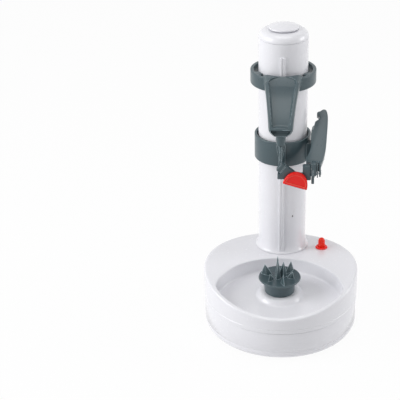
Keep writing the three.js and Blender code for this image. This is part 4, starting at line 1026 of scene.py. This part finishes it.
def make_trough(size):
    """The arm's trough, with raised sides above, a channel below and an arched nose."""
    path = trough_path(size)
    wall = size.trough_wall
    fine, over = 0.1 * MM, 4 * MM

    def half_width(share):
        straight = (size.trough_root + (size.trough_tip - size.trough_root) * min(share, 1) ** 0.8) / 2
        ended = min(0.9, max(0, (share - MOUTH_START) / 0.095))
        return straight * math.sqrt(1 - ended ** 2)

    def depth(share):
        return size.trough_deep + (size.trough_shallow - size.trough_deep) * min(share, 1)

    def section(share, corners, bow=0.0):
        """Ring of (x, height, fillet) corners across the path, bowed towards the collar in its middle."""
        ring = []
        for x, height in rounded(corners, 4):
            point, run = path(share + bow * (2 * x / size.trough_tip) ** 2)
            ring.append((x, point.x + run.y * height, point.y - run.x * height))
        return ring

    def trench(share, half, deep, slope, fillet, bow):
        """Section of a cut from above, with points across for its bow."""
        inner = half - slope
        rim = [(half * k / 4, over, 0) for k in (3, 2, 1, 0, -1, -2, -3)]
        bed = [(inner * k / 4, -deep, 0) for k in (-2, -1, 0, 1, 2)]
        return section(share, [(-half, over, fine), (-inner, -deep, fillet), *bed, (inner, -deep, fillet),
                               (half, over, fine), *rim], bow)

    def body(share):
        """Outside of the arm, with a rounder crown in the hood."""
        half, deep = half_width(share), depth(share)
        crown = (1.7 + 14 * max(0, 1 - share / HOOD_END)) * MM
        side, shoulder, heel = 3 * MM, 0.6 * deep, 0.72 * half
        return section(share, [(-half, 0, crown), (-half, -shoulder, side), (-heel, -deep, side),
                               (heel, -deep, side), (half, -shoulder, side), (half, 0, crown)])

    def scoop(share):
        """Hollow of the upper side, which fades in at the hood and stops behind the lip."""
        grown = min(1, max(0.02, (share - SCOOP_START) / (SCOOP_FULL - SCOOP_START)))
        ended = min(1, max(0.02, (SCOOP_END - share) / 0.03))
        half = (half_width(share) - wall) * math.sqrt(1 - (1 - grown) ** 2) * (0.9 + 0.1 * ended)
        deep = 0.3 * depth(share) * min(grown ** 0.6, ended ** 0.5)
        bow = LIP_BOW * max(0, share - 0.5) / 0.4
        return trench(share, half, deep, 0.8 * MM * grown, 1.6 * MM * grown, bow)

    def channel(share):
        """Hollow of the underside."""
        half, deep = half_width(share) - wall * 0.75, depth(share)
        top, low = 0.3 * deep + 2.2 * MM, deep + over
        return section(share, [(-half, -top, over), (-0.8 * half, -low, FINE), (0.8 * half, -low, FINE),
                               (half, -top, over)])

    def mouth(share):
        """Recess in front of the arched lip, round the prong's socket."""
        return trench(share, half_width(share) - wall * 0.6, 0.62 * depth(share), 0.4 * MM, 1.4 * MM, LIP_BOW)

    trough = lofted("trough", [body(share) for share in evenly(0, 1, 36)])
    for name, part, start, end, steps in (("scoop", scoop, SCOOP_START, SCOOP_END + 0.001, 48),
                                          ("channel", channel, CHANNEL_START, CHANNEL_END, 45),
                                          ("mouth", mouth, MOUTH_START, MOUTH_END, 12)):
        cut(trough, lofted(name, [part(share) for share in evenly(start, end, steps)]))
    return trough


def make_food_arm(size):
    """Collar with three pads, the trough and the socket of the prong, melted into one."""
    outer = food_high.x
    inner = outer - size.collar_wall
    low = size.collar_low
    top = low + size.collar_tall
    edge = size.edge
    collar = turned("food_arm_body", [(inner, low, edge), (outer, low, edge), (outer, top, edge),
                                      (inner, top, edge)], 0, column_y, RING_FACETS)
    half_pad, inset = 4 * MM, 0.1 * MM
    pad = block("pad", (column_radius + FIT, -half_pad, low + inset),
                (inner + 1 * MM, half_pad, top - inset), SMALL)
    pads = spread(pad, "pad", [moved((0, column_y, 0), math.radians(90 + 120 * k)) for k in range(3)])
    tip_y = (prong_low.y + prong_high.y) / 2
    bottom = food_low.z
    radius, shoulder, socket_top = size.socket_radius, bottom + 6 * MM, bottom + 18 * MM
    boss = turned("socket", [(0, bottom, 0), (radius - 0.8 * MM, bottom, SMALL), (radius, shoulder, SMALL),
                             (radius, socket_top, 0), (0, socket_top, 0)], 0, tip_y, 48)
    trough = joined(make_trough(size), boss)
    margin = 30 * MM
    cut(trough, post("room", 0, column_y, low - margin, top + margin, inner, RING_FACETS))
    joined(collar, trough, *pads)
    bore_top, axle_bore = bottom + 14 * MM, 1.8 * MM
    cut(collar, post("bore", 0, tip_y, bottom - PAST, bore_top, axle_bore, 24))
    moulded(collar, 0.42 * MM, 3, 0.5)
    return finished(collar, "food_arm", "slate", "food_arm", angle=40)


def make_prong():
    """Cross-shaped spike: four blades that narrow to one tip."""
    y = (prong_low.y + prong_high.y) / 2
    top, tip = prong_high.z, prong_low.z
    head = prong_high.x
    half = [(-head, top, 0.6 * MM), (-head * 0.8, top - head, 0.8 * MM), (-0.4 * MM, tip, FINE)]
    outline = rounded(half + [(-x, z, fillet) for x, z, fillet in reversed(half)], 3)
    thick = 1.6 * MM
    basis = moved((0, thick / 2, 0)) @ UPRIGHT
    blade = plate("prong_blade", outline, thick, basis, 0.25 * MM, 2)
    blades = spread(blade, "prong_blade", [moved((0, y, 0), k * QUARTER) for k in range(2)])
    core_low, core_tip, core_root, seat = tip + head, 0.8 * MM, 2.4 * MM, 1.65 * MM
    core = turned("core", [(0, core_low, 0), (core_tip, core_low, EASED), (core_root, top, EASED),
                           (0, top, 0)], 0, y, 32)
    piece = joined(*blades, core)
    cut(piece, post("seat", 0, y, top - head, top + PAST, seat, 24))
    piece.name = "prong_spike"
    return finished(piece, "prong", "slate", "prong")


def make_carriage(size, column):
    """Ring that climbs the column, with its front bar, the ear of the pivot, a wing and the rear lug."""
    outer = CARRIAGE_RADIUS
    inner = outer - size.carriage_wall
    low, top = ring_low.z, ring_high.z
    edge, hair = size.edge, 0.03 * MM
    ring = turned("carriage_ring", [(inner, low, edge), (outer, low, edge), (outer, top, edge),
                                    (inner, top, edge)], 0, column_y, RING_FACETS)
    front = column_y - outer
    half = size.nose_width / 2
    nose = block("nose", (-half, front - size.nose_stand, low + hair),
                 (half, front + size.nose_stand, top - hair), SOFT)
    ear_top = low + size.ear_tall
    ear = post("ear", pivot_x, pivot_y, low, ear_top, size.ear_radius, 64, edge)
    half_neck = size.ear_radius - 0.5 * MM
    neck = block("neck", (0, pivot_y - half_neck, low + hair),
                 (pivot_x, pivot_y + half_neck, ear_top - hair), edge)
    wing_left, wing_tall = 20 * MM, 19 * MM
    wing = block("wing", (wing_left, pivot_y - half_neck + hair, low + 2 * hair),
                 (pivot_x - size.ear_radius, pivot_y + half_neck - hair, low + wing_tall), edge)
    lug_face = ring_high.y
    lug_low = (low + top - size.lug_tall) / 2
    lug = block("lug", (-column.slot_width, column_y, lug_low),
                (column.slot_width, lug_face, lug_low + size.lug_tall), edge)
    extras = joined(neck, ear, wing, lug, nose)
    cut(extras, post("hole", 0, column_y, low - PAST, top + PAST, inner, RING_FACETS))
    joined(ring, extras)
    rib = column.rib_width / 2 + FIT
    notch_face = column_y - column_radius - column.rib_stand - FIT
    screw_z = (lug_low + lug_low + size.lug_tall) / 2
    cut(ring, block("notch", (-rib, notch_face, low - PAST),
                    (rib, column_y - column_radius + PAST, top + PAST)),
        post("pin_hole", pivot_x, pivot_y, low - PAST, ear_top + PAST, SHANK_BORE, 32),
        bar("screw_hole", "y", column_y, lug_face + PAST, 0, screw_z, 2 * MM),
        bar("head_seat", "y", lug_face - 2.1 * MM, lug_face + PAST, 0, screw_z, HEAD_BORE))
    return finished(ring, "carriage", "slate", "peel_carriage", angle=36)


def make_follower_screw():
    """Screw in the rear lug."""
    low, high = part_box("follower_screw")
    screw = screw_with_cross("lug_screw", high.y - low.y, (high.z - low.z) / 2, 1.4 * MM, 1.8 * MM)
    screw.matrix_world = moved((0, high.y, (high.z + low.z) / 2), QUARTER, "X")
    finished(screw, "carriage", "steel", "follower_screw")


def make_pivot_pin():
    """Upright pin that the peel arm swings on."""
    low, high = pivot_low.z, pivot_high.z
    shank, head, brim = 2 * MM, 4 * MM, high - 1.8 * MM
    profile = [(0, low, 0), (shank, low, EASED), (shank, brim, 0), (head, brim, FINE),
               (head, high, 0.9 * MM), (0, high, 0)]
    finished(turned("pivot_pin", profile, pivot_x, pivot_y, 48), "carriage", "steel", "arm_pivot_pin")


def make_peel_arm(size):
    """Crescent with the barrel of its pivot and the fork that holds the blade head."""
    foot = Vector((head_high.x, pin_y + 1.5 * MM, pin_z - 9.5 * MM))
    along = Vector((0, math.cos(ARM_LEAN), math.sin(ARM_LEAN)))
    out = Vector((0, -math.sin(ARM_LEAN), math.cos(ARM_LEAN)))
    basis = Matrix((Vector((1, 0, 0)), along, out)).transposed().to_4x4()
    basis.translation = foot
    outline = smoothed([(across * size.arm_span, run * size.arm_length)
                        for across, run in ARM_OUTER_SHARES + ARM_INNER_SHARES], 4)
    crescent = plate("arm_crescent", outline, size.arm_thick, basis, 1.2 * MM)
    cheek_x = foot.x + FIT
    leaf_x = cheek_x + 5.3 * MM
    far_x = leaf_x + 2.1 * MM
    deep, tall = size.cheek_deep / 2, size.cheek_tall / 2
    hair = 0.05 * MM

    def fork_part(name, left, right, front, back, low, high, edge=0.0):
        """Block of the fork, its front, back, bottom and top measured from the pin."""
        return block(name, (left, pin_y + front, pin_z + low), (right, pin_y + back, pin_z + high), edge)

    cut(crescent,
        fork_part("gap", leaf_x + 0.95 * MM, far_x + hair, -2 * deep, deep / 2, -2 * tall, 0.9 * tall),
        fork_part("clear", 0, cheek_x + hair, -2 * deep, deep + FIT, -2 * tall, tall))
    barrel_low = ring_low.z + size.ear_tall + FIT
    barrel_top = foot.z + (pivot_y - foot.y) * math.tan(ARM_LEAN) + size.barrel_radius
    barrel = post("barrel", pivot_x, pivot_y, barrel_low, barrel_top, size.barrel_radius, 64, size.edge)
    joined(crescent, barrel,
           fork_part("jaw", cheek_x, leaf_x - 0.5 * MM, -deep, deep, -2 * MM, tall, 0.7 * MM),
           fork_part("tongue", cheek_x + 0.1 * MM, cheek_x + 1.4 * size.cheek, 0.1 * MM - deep,
                     deep - 0.1 * MM, -tall, 0, 0.6 * MM),
           fork_part("web", cheek_x + 0.2 * MM, far_x + 1.4 * MM, 1.9 * MM, deep - 0.4 * MM,
                     -3.2 * MM, tall - 0.6 * MM, SMALL),
           fork_part("leaf", leaf_x, leaf_x + 1 * MM, 0.2 * MM - deep, deep - 0.2 * MM,
                     -3.8 * MM, tall - 0.2 * MM, EASED),
           fork_part("far_cheek", far_x, far_x + 1.5 * MM, 0.3 * MM - deep, deep - 0.3 * MM,
                     -3 * MM, tall - 0.4 * MM, SOFT))
    lowered = size.collar_low - FOOD_ARM_DROP - FIT
    cut(crescent, post("collar_room", 0, column_y, lowered, lowered + 2 * size.collar_tall,
                       food_high.x + FIT, RING_FACETS))
    cut(crescent, fork_part("nick", cheek_x + 1.2 * MM, cheek_x + 2 * MM, -2 * deep, 1 * MM - deep,
                            -1 * MM, 4 * MM),
        post("bore", pivot_x, pivot_y, barrel_low - 5 * MM, barrel_top + PAST, SHANK_BORE, 32),
        post("spring_room", pivot_x, pivot_y, barrel_low - PAST, barrel_low + 5.3 * MM, 4 * MM, 32),
        post("head_room", pivot_x, pivot_y, barrel_top, pivot_high.z + 0.4 * MM, HEAD_BORE, 48),
        bar("pin_hole", "x", cheek_x - PAST, leaf_x + 6 * size.cheek, pin_y, pin_z, PIN_BORE))
    crescent.name = "peel_arm_body"
    return finished(crescent, "arm", "slate", "peel_arm", angle=36)


def make_head_pin():
    """Pin through the fork, with its riveted end."""
    end = pin_high.x
    pin = bar("fork_pin", "x", pin_low.x, end - 0.3 * MM, pin_y, pin_z, 1.2 * MM, 32, FINE)
    joined(pin, bar("rivet", "x", end - 0.7 * MM, end, pin_y, pin_z, 2.4 * MM, 32, SMALL))
    finished(pin, "arm", "steel", "head_pin")


def make_blade_head():
    """Block in the fork with its wedge, the red cartridge and the blade in it."""
    right = head_high.x
    wide, half_deep, tall = 8 * MM, 3.25 * MM, 15 * MM
    left = right - wide
    front, back = pin_y - half_deep, pin_y + half_deep
    bottom = pin_z - tall / 2
    knuckle = block("knuckle", (left, front, bottom), (right, back, bottom + tall), 1.2 * MM)
    beam_long, beam_deep, beam_tall = 24 * MM, 5 * MM, 6 * MM
    beam = block("beam", (left - beam_long, back - beam_deep, bottom),
                 (left + 1 * MM, back, bottom + beam_tall), 0.7 * MM)
    half, tall = 8.5 * MM, 4.5 * MM
    wedge = block("wedge", (-half, front, -tall), (half, back, tall), 0.8 * MM)
    start, end, high = -4.4 * MM, -3.6 * MM, 6 * MM
    cut(wedge, block("groove", (start, front - PAST, -high), (end, front + 1 * MM, high)),
        block("groove", (start, front - PAST, 3.6 * MM), (end, back + PAST, high)))
    wedge.matrix_world = moved((right - 23.8 * MM, 0, pin_z + 1 * MM), math.radians(38), "Y")
    settled(wedge)
    joined(knuckle, beam, wedge)
    cut(knuckle, bar("hole", "x", left - PAST, right + PAST, pin_y, pin_z, PIN_BORE))
    knuckle.name = "head_block"
    finished(knuckle, "head", "slate", "blade_head", angle=36)

    seat = moved((right - 15.3 * MM, 0, pin_z - 12.4 * MM), math.radians(16), "Y")
    face, thick, dish_deep = front - FIT, 4 * MM, 0.5 * MM
    middle = face - thick / 2
    crown = half_oval(12 * MM, 15 * MM)
    shell = plate("cartridge_shell", crown, thick, seat @ moved((0, face, 0)) @ UPRIGHT, 0.7 * MM)
    dish = half_oval(9.6 * MM, 10 * MM, 2.2 * MM)
    cut(shell, plate("recess", dish, 1.2 * MM, seat @ moved((0, face - thick + dish_deep, 0)) @ UPRIGHT))
    half, room_deep = 9.3 * MM, 0.7 * MM
    room = block("room", (-half, middle - room_deep, -2 * MM), (half, middle + room_deep, 2.1 * MM))
    room.matrix_world = seat
    cut(shell, settled(room))
    finished(shell, "head", "red", "blade_cartridge", angle=36)

    half, low, high = 9 * MM, -1.2 * MM, 1.8 * MM
    strip = [(-half, low), (half, low), (half, high), (-half, high)]
    blade = plate("peel_strip", strip, 0.8 * MM, seat @ moved((0, middle + 0.4 * MM, 0)) @ UPRIGHT)
    with editing(blade) as mesh:
        edges = [edge for edge in mesh.edges if abs(edge.calc_length() - 2 * half) < 0.01 * MM]
        lowest = min(edges, key=lambda edge: sum(v.co.z + 0.2 * v.co.y for v in edge.verts))
        bpy.ops.mesh.select_all(action="DESELECT")
        bpy.ops.mesh.select_mode(type="EDGE")
        lowest.select_set(True)
        bpy.ops.mesh.bevel(offset=0.6 * MM, segments=1, affect="EDGES")
    finished(blade, "head", "steel", "peel_blade")


# Food holder and button

# Tines of the food holder, in mm: their height beyond the room over the disc, and how high their feet lie.
# Fins in mm: width, thickness, height and distance from the middle, then the first of every second one
TINES = [(1, -1.0), (-1.4, -1.1), (-3.8, -1.2)]
FINS = [(6.2, 2.0, 12, 13, 0), (4.2, 1.4, 9, 11, 1)]


def make_food_holder():
    """Cup and disc with three tall tines round the middle and six fins round the rim."""
    low = holder_low.z
    seat = low + 9 * MM
    top = seat + 2.2 * MM
    radius = holder_high.x
    skirt = low - 4.5 * MM
    inside, foot, waist = 12.2 * MM, 14.6 * MM, 15.9 * MM
    profile = [(0, low, 0), (inside, low, EASED), (inside, skirt, EASED), (foot, skirt, 0.6 * MM),
               (waist, seat - 0.3 * MM, SOFT), (radius - 0.8 * MM, seat, SMALL),
               (radius, seat + 1 * MM, SMALL), (radius - SMALL, top, SMALL),
               (radius - 1.6 * MM, top - 0.3 * MM, 0), (0, top - 0.5 * MM, 0)]
    holder = turned("holder_cup", profile, 0, spindle_y, 96)
    tine_wide, tine_thick, tine_lean, tine_place = 4.2 * MM, 3 * MM, 0.4 * MM, 3.2 * MM
    points = []
    for k, (rise, sink) in enumerate(TINES):
        tine = spike("tine", holder_high.z - top + rise * MM, tine_wide, tine_thick, tine_lean)
        points += spread(tine, "tine", [moved((0, spindle_y, top + sink * MM), 2 * math.pi * k / 3 + 2.2)
                                        @ moved((tine_place, 0, 0))])
    for wide, thin, tall, place, first in FINS:
        fin = spike("fin", tall * MM, wide * MM, thin * MM, 2 * MM)
        points += spread(fin, "fin", [moved((0, spindle_y, top - (1.3 + 0.1 * k) * MM),
                                            math.pi / 3 * k + math.pi / 4)
                                      @ moved((place * MM, 0, 0)) for k in range(first, 6, 2)])
    joined(holder, *points)
    socket_deep, socket_radius = 4.8 * MM, 3.3 * MM
    cut(holder, post("socket", 0, spindle_y, low - PAST, low + socket_deep, socket_radius, 32))
    return finished(holder, "spindle", "slate", "food_holder", angle=30)


def make_button(base):
    """Red collar that follows the slope of the deck, and the dome in it."""
    level = rim_height(base, button_y)
    deck = level + FIT
    rim = collar_high.x - button_x
    radius = button_high.x - button_x
    bore = radius + FIT
    sleeve = 4.9 * MM
    low, top = collar_low.z, collar_high.z
    profile = [(bore, low, FINE), (sleeve, low, FINE), (sleeve, deck, 0), (rim, deck, FINE),
               (rim, deck + 0.5 * MM, SMALL), (rim - 1.2 * MM, top, SMALL), (bore, top, FINE)]
    collar = turned("button_ring", profile, button_x, button_y, 64)
    for vertex in collar.data.vertices:
        place = vertex.co
        reach = math.hypot(place.x - button_x, place.y - button_y)
        if reach > sleeve - 0.05 * MM and place.z > deck - 0.5 * MM:
            share = 1 - max(0, place.z - deck) / (top - deck)
            place.z += share * (rim_height(base, place.y) - level)
    finished(collar, "base", "red", "button_collar")

    tall = radius * 1.15
    dome = [(radius * cosine, button_high.z - tall + tall * sine, 0) for sine, cosine in quarter_turn(10)]
    stem, shelf = 1.6 * MM, deck - 8 * MM
    profile = [(0, button_low.z, 0), (stem, button_low.z, EASED), (stem, shelf, 0),
               (radius, shelf, EASED), *dome]
    button = turned("button_dome", profile, button_x, button_y, 64)
    finished(button, "start_button", "button", "start_button")


# Inside the base

def make_cells():
    """Four cells that lie along Y, each turned the other way than the last."""
    boxes = [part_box(f"battery_cell_{k + 1}") for k in range(4)]
    low, high = boxes[0]
    radius = (high.x - low.x) / 2
    run = high.y - low.y
    body = run - 1 * MM
    cap = 2.6 * MM
    profile = [(0, 0, 0), (radius - 1.5 * MM, 0, FINE), (radius - 0.9 * MM, 0.5 * MM, FINE),
               (radius, 0.6 * MM, SOFT), (radius, body, SOFT), (radius - 1 * MM, body, FINE),
               (radius - 1.4 * MM, body - 0.3 * MM, FINE), (cap, body - 0.3 * MM, 0), (cap, run, SMALL),
               (0, run, 0)]
    places = []
    for k, (low, high) in enumerate(boxes):
        forward = k % 2 == 1
        middle = (low + high) / 2
        places.append(moved((middle.x, low.y if forward else high.y, middle.z),
                            -QUARTER if forward else QUARTER, "X"))
    for cell, place in zip(spread(turned("cell", profile, facets=64), "cell", places), places):
        finished(cell, "base", "jacket", f"battery_{cell.name}")
        cell.data.materials.append(material("steel"))
        middle = place.translation
        for face in cell.data.polygons:
            reach = math.hypot(face.center.x - middle.x, face.center.z - middle.z)
            if reach < radius - 0.8 * MM:
                face.material_index = 1


PAINT_OF_NODE = {
    "cell_contact": "steel", "gear_frame": "nylon", "idler_pin": "steel", "step_pin": "steel",
    "idler_gear": "nylon", "step_gear": "nylon", "motor_pinion": "brass", "motor_shaft": "steel",
    "motor_leads": "sleeve", "motor": "steel", "spindle_shaft": "steel", "spindle_gear": "nylon",
    "spindle_bush": "brass", "spindle_seal": "rubber", "screw_gear": "nylon", "screw_foot_bush": "brass",
    "screw_top_bush": "brass", "follower_nut": "nylon", "arm_spring": "steel", "prong_axle": "steel",
    "button_spring": "steel", "start_switch": "black", "limit_switch": "black", "circuit_board": "board",
}


def dress_inner_works():
    """Gives each carried-over node its finish."""
    for name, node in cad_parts.items():
        if node.hide_render:
            continue
        keys = [key for key in PAINT_OF_NODE if name.startswith(key)]
        if not keys:
            raise RuntimeError(f"{name} has no finish")
        paint = PAINT_OF_NODE[max(keys, key=len)]
        node.data.materials.clear()
        node.data.materials.append(material(paint))


# Stage: floor, lights and camera

# The camera, fitted to the photo: lengths in pixels, the sensor in mm, angles in degrees
PHOTO_WIDTH = 400
FOCAL_PIXELS = 1180.0
SENSOR = 36.0
ANCHOR = Vector((0, 0, 110.5 * MM))
ANCHOR_PIXEL = (280.8, 224.05)
DISTANCE = 1155 * MM
AZIMUTH, ELEVATION, ROLL = (math.radians(angle) for angle in (1.373, 28.4, -0.49))


def place_camera():
    """Stands the camera where the photo was taken from, with the column's foot at its own pixel."""
    bpy.ops.object.camera_add()
    camera = bpy.context.object
    camera.name = "studio_camera"
    camera.data.sensor_width = SENSOR
    camera.data.lens = FOCAL_PIXELS * SENSOR / PHOTO_WIDTH
    camera.data.clip_start = 0.05
    back = Vector((math.sin(AZIMUTH) * math.cos(ELEVATION), -math.cos(AZIMUTH) * math.cos(ELEVATION),
                   math.sin(ELEVATION)))
    side = Vector((0, 0, 1)).cross(back).normalized()
    facing = Matrix((side, back.cross(side), back)).transposed()
    half = PHOTO_WIDTH / 2
    across, down = ((pixel - half) / FOCAL_PIXELS for pixel in ANCHOR_PIXEL)
    ray = Vector((across, -down, -1)).normalized()
    yaw = Matrix.Rotation(math.atan2(ray.x, -ray.z), 3, "Y")
    level = yaw @ ray
    pitch = Matrix.Rotation(-math.atan2(level.y, -level.z), 3, "X")
    rolled = Matrix.Rotation(ROLL, 3, -back)
    camera.matrix_world = (Matrix.Translation(ANCHOR + back * DISTANCE)
                           @ (rolled @ facing @ pitch @ yaw).to_4x4())
    bpy.context.scene.camera = camera


# White lamps: name, place in metres, size in metres, power in watts
LAMPS = [
    ("left_softbox", (-1.15, -0.35, 0.65), 0.8, 10.0),
    ("right_softbox", (1.2, 0.15, 0.5), 0.6, 5.2),
    ("top_softbox", (0.0, -0.1, 1.4), 0.9, 4.8),
]


def place_lamps():
    """Three soft boxes that face the middle of the peeler."""
    target = Vector((0, 0, 0.14))
    for name, place, size, power in LAMPS:
        bpy.ops.object.light_add(type="AREA", location=place)
        lamp = bpy.context.object
        lamp.name = name
        lamp.data.size = size
        lamp.data.energy = power
        lamp.rotation_euler = (target - Vector(place)).to_track_quat("-Z", "Y").to_euler()


def seen_directly(tree):
    """1 for rays from the camera, a reflection or a refraction, otherwise 0."""
    path = tree.nodes.new("ShaderNodeLightPath").outputs
    first = wired(tree, "ShaderNodeMath", {0: path["Is Camera Ray"], 1: path["Is Glossy Ray"]},
                  operation="MAXIMUM")
    both = wired(tree, "ShaderNodeMath", {0: first.outputs[0], 1: path["Is Transmission Ray"]},
                 operation="MAXIMUM")
    return both.outputs[0]


def place_world():
    """White background that lights the scene more softly than it looks."""
    world = bpy.data.worlds.new("Studio")
    bpy.context.scene.world = world
    world.use_nodes = True
    tree = world.node_tree
    background = tree.nodes["Background"]
    level = wired(tree, "ShaderNodeMapRange", {"Value": seen_directly(tree), "To Min": 0.36, "To Max": 1.0})
    background.inputs["Color"].default_value = (1, 1, 1, 1)
    tree.links.new(level.outputs[0], background.inputs["Strength"])


def place_floor():
    """White floor that glows as the background does, so that no horizon shows."""
    bpy.ops.mesh.primitive_plane_add(size=12, location=(0, 0, 0))
    floor = started("studio_floor")
    made, tree, shader = shader_of("floor_finish")
    place = tree.nodes.new("ShaderNodeTexCoord").outputs["Object"]
    cloud = wired(tree, "ShaderNodeTexNoise", {"Vector": place, "Scale": 3.0})
    tone = mixed(tree, cloud.outputs["Fac"], (0.84, 0.84, 0.85, 1), (0.86, 0.86, 0.86, 1))
    tree.links.new(tone, shader.inputs["Base Color"])
    shader.inputs["Roughness"].default_value = 0.9
    glow = wired(tree, "ShaderNodeEmission", {"Color": (1, 1, 1, 1), "Strength": 1.0})
    share = wired(tree, "ShaderNodeMath", {0: seen_directly(tree), 1: 0.955}, operation="MULTIPLY")
    blend = wired(tree, "ShaderNodeMixShader", {0: share.outputs[0], 1: shader.outputs[0],
                                                2: glow.outputs[0]})
    tree.links.new(blend.outputs[0], tree.nodes["Material Output"].inputs["Surface"])
    floor.data.materials.append(made)


# Operators, in the order in which main calls them

class PEELER_OT_stage(bpy.types.Operator):
    """Places the camera, the lamps, the world and the floor"""
    bl_idname = "peeler.stage"
    bl_label = "Stage"
    bl_options = {"REGISTER", "UNDO"}

    def execute(self, context):
        place_camera()
        place_lamps()
        place_world()
        place_floor()
        return {"FINISHED"}


class PEELER_OT_housing(bpy.types.Operator):
    """Models the upper shell with its tray and cone"""
    bl_idname = "peeler.housing"
    bl_label = "Housing"
    bl_options = {"REGISTER", "UNDO"}

    def execute(self, context):
        make_housing(context.scene.peeler_base)
        return {"FINISHED"}


class PEELER_OT_pan(bpy.types.Operator):
    """Models the lower shell"""
    bl_idname = "peeler.pan"
    bl_label = "Bottom pan"
    bl_options = {"REGISTER", "UNDO"}

    def execute(self, context):
        make_pan(context.scene.peeler_base)
        return {"FINISHED"}


class PEELER_OT_door(bpy.types.Operator):
    """Models the battery door"""
    bl_idname = "peeler.door"
    bl_label = "Battery door"
    bl_options = {"REGISTER", "UNDO"}

    def execute(self, context):
        make_door()
        return {"FINISHED"}


class PEELER_OT_feet(bpy.types.Operator):
    """Models the rubber feet and the housing screws"""
    bl_idname = "peeler.feet"
    bl_label = "Feet and screws"
    bl_options = {"REGISTER", "UNDO"}

    def execute(self, context):
        make_feet()
        make_housing_screws()
        return {"FINISHED"}


class PEELER_OT_column(bpy.types.Operator):
    """Models the column tube with its rib, slot and pointer"""
    bl_idname = "peeler.column"
    bl_label = "Column"
    bl_options = {"REGISTER", "UNDO"}

    def execute(self, context):
        make_column(context.scene.peeler_column, context.scene.peeler_base)
        make_pointer()
        return {"FINISHED"}


class PEELER_OT_cap(bpy.types.Operator):
    """Models the column's cap and its plug"""
    bl_idname = "peeler.cap"
    bl_label = "Cap"
    bl_options = {"REGISTER", "UNDO"}

    def execute(self, context):
        make_cap(context.scene.peeler_column)
        return {"FINISHED"}


class PEELER_OT_lead_screw(bpy.types.Operator):
    """Models the threaded screw in the column"""
    bl_idname = "peeler.lead_screw"
    bl_label = "Lead screw"
    bl_options = {"REGISTER", "UNDO"}

    def execute(self, context):
        make_lead_screw(context.scene.peeler_column)
        return {"FINISHED"}


class PEELER_OT_food_arm(bpy.types.Operator):
    """Models the collar with its trough-shaped arm"""
    bl_idname = "peeler.food_arm"
    bl_label = "Food arm"
    bl_options = {"REGISTER", "UNDO"}

    def execute(self, context):
        make_food_arm(context.scene.peeler_arms)
        return {"FINISHED"}


class PEELER_OT_prong(bpy.types.Operator):
    """Models the spike under the food arm"""
    bl_idname = "peeler.prong"
    bl_label = "Prong"
    bl_options = {"REGISTER", "UNDO"}

    def execute(self, context):
        make_prong()
        return {"FINISHED"}


class PEELER_OT_carriage(bpy.types.Operator):
    """Models the ring that climbs the column, with its screw and pin"""
    bl_idname = "peeler.carriage"
    bl_label = "Peel carriage"
    bl_options = {"REGISTER", "UNDO"}

    def execute(self, context):
        make_carriage(context.scene.peeler_arms, context.scene.peeler_column)
        make_follower_screw()
        make_pivot_pin()
        return {"FINISHED"}


class PEELER_OT_peel_arm(bpy.types.Operator):
    """Models the crescent with its fork and pin"""
    bl_idname = "peeler.peel_arm"
    bl_label = "Peel arm"
    bl_options = {"REGISTER", "UNDO"}

    def execute(self, context):
        make_peel_arm(context.scene.peeler_arms)
        make_head_pin()
        return {"FINISHED"}


class PEELER_OT_blade_head(bpy.types.Operator):
    """Models the blade's block, cartridge and strip"""
    bl_idname = "peeler.blade_head"
    bl_label = "Blade head"
    bl_options = {"REGISTER", "UNDO"}

    def execute(self, context):
        make_blade_head()
        return {"FINISHED"}


class PEELER_OT_food_holder(bpy.types.Operator):
    """Models the cup and disc with their points"""
    bl_idname = "peeler.food_holder"
    bl_label = "Food holder"
    bl_options = {"REGISTER", "UNDO"}

    def execute(self, context):
        make_food_holder()
        return {"FINISHED"}


class PEELER_OT_button(bpy.types.Operator):
    """Models the button and its collar"""
    bl_idname = "peeler.button"
    bl_label = "Start button"
    bl_options = {"REGISTER", "UNDO"}

    def execute(self, context):
        make_button(context.scene.peeler_base)
        return {"FINISHED"}


class PEELER_OT_cells(bpy.types.Operator):
    """Models the four cells"""
    bl_idname = "peeler.cells"
    bl_label = "Battery cells"
    bl_options = {"REGISTER", "UNDO"}

    def execute(self, context):
        make_cells()
        return {"FINISHED"}


class PEELER_OT_inner_works(bpy.types.Operator):
    """Gives the gears, motor and contacts their finishes"""
    bl_idname = "peeler.inner_works"
    bl_label = "Inner works"
    bl_options = {"REGISTER", "UNDO"}

    def execute(self, context):
        dress_inner_works()
        return {"FINISHED"}

OPERATORS = [PEELER_OT_stage, PEELER_OT_housing, PEELER_OT_pan, PEELER_OT_door, PEELER_OT_feet,
             PEELER_OT_column, PEELER_OT_cap, PEELER_OT_lead_screw, PEELER_OT_food_arm, PEELER_OT_prong,
             PEELER_OT_carriage, PEELER_OT_peel_arm, PEELER_OT_blade_head, PEELER_OT_food_holder,
             PEELER_OT_button, PEELER_OT_cells, PEELER_OT_inner_works]


class PEELER_PT_pieces(bpy.types.Panel):
    """Lists the pieces in the order in which they are made."""
    bl_idname = "PEELER_PT_pieces"
    bl_label = "Fruit peeler"
    bl_space_type = "VIEW_3D"
    bl_region_type = "UI"
    bl_category = "Peeler"

    def draw(self, context):
        for made in OPERATORS:
            self.layout.operator(made.bl_idname)
        for name, group in GROUPS.items():
            box = self.layout.box()
            box.label(text=group.__doc__)
            for key in group.__annotations__:
                box.prop(getattr(context.scene, name), key)


def register():
    """Makes the classes and the settings known."""
    for kind in (*GROUPS.values(), *OPERATORS, PEELER_PT_pieces):
        bpy.utils.register_class(kind)
    for name, group in GROUPS.items():
        setattr(bpy.types.Scene, name, PointerProperty(type=group))


def unregister():
    """Takes the settings and the classes away again."""
    for name in GROUPS:
        delattr(bpy.types.Scene, name)
    for kind in (PEELER_PT_pieces, *reversed(OPERATORS), *GROUPS.values()):
        bpy.utils.unregister_class(kind)


def main():
    """Builds the stage and every piece."""
    register()
    bpy.context.scene.view_settings.view_transform = "Standard"
    for made in OPERATORS:
        getattr(bpy.ops.peeler, made.bl_idname.split(".")[1])()


if __name__ == "__main__":
    main()
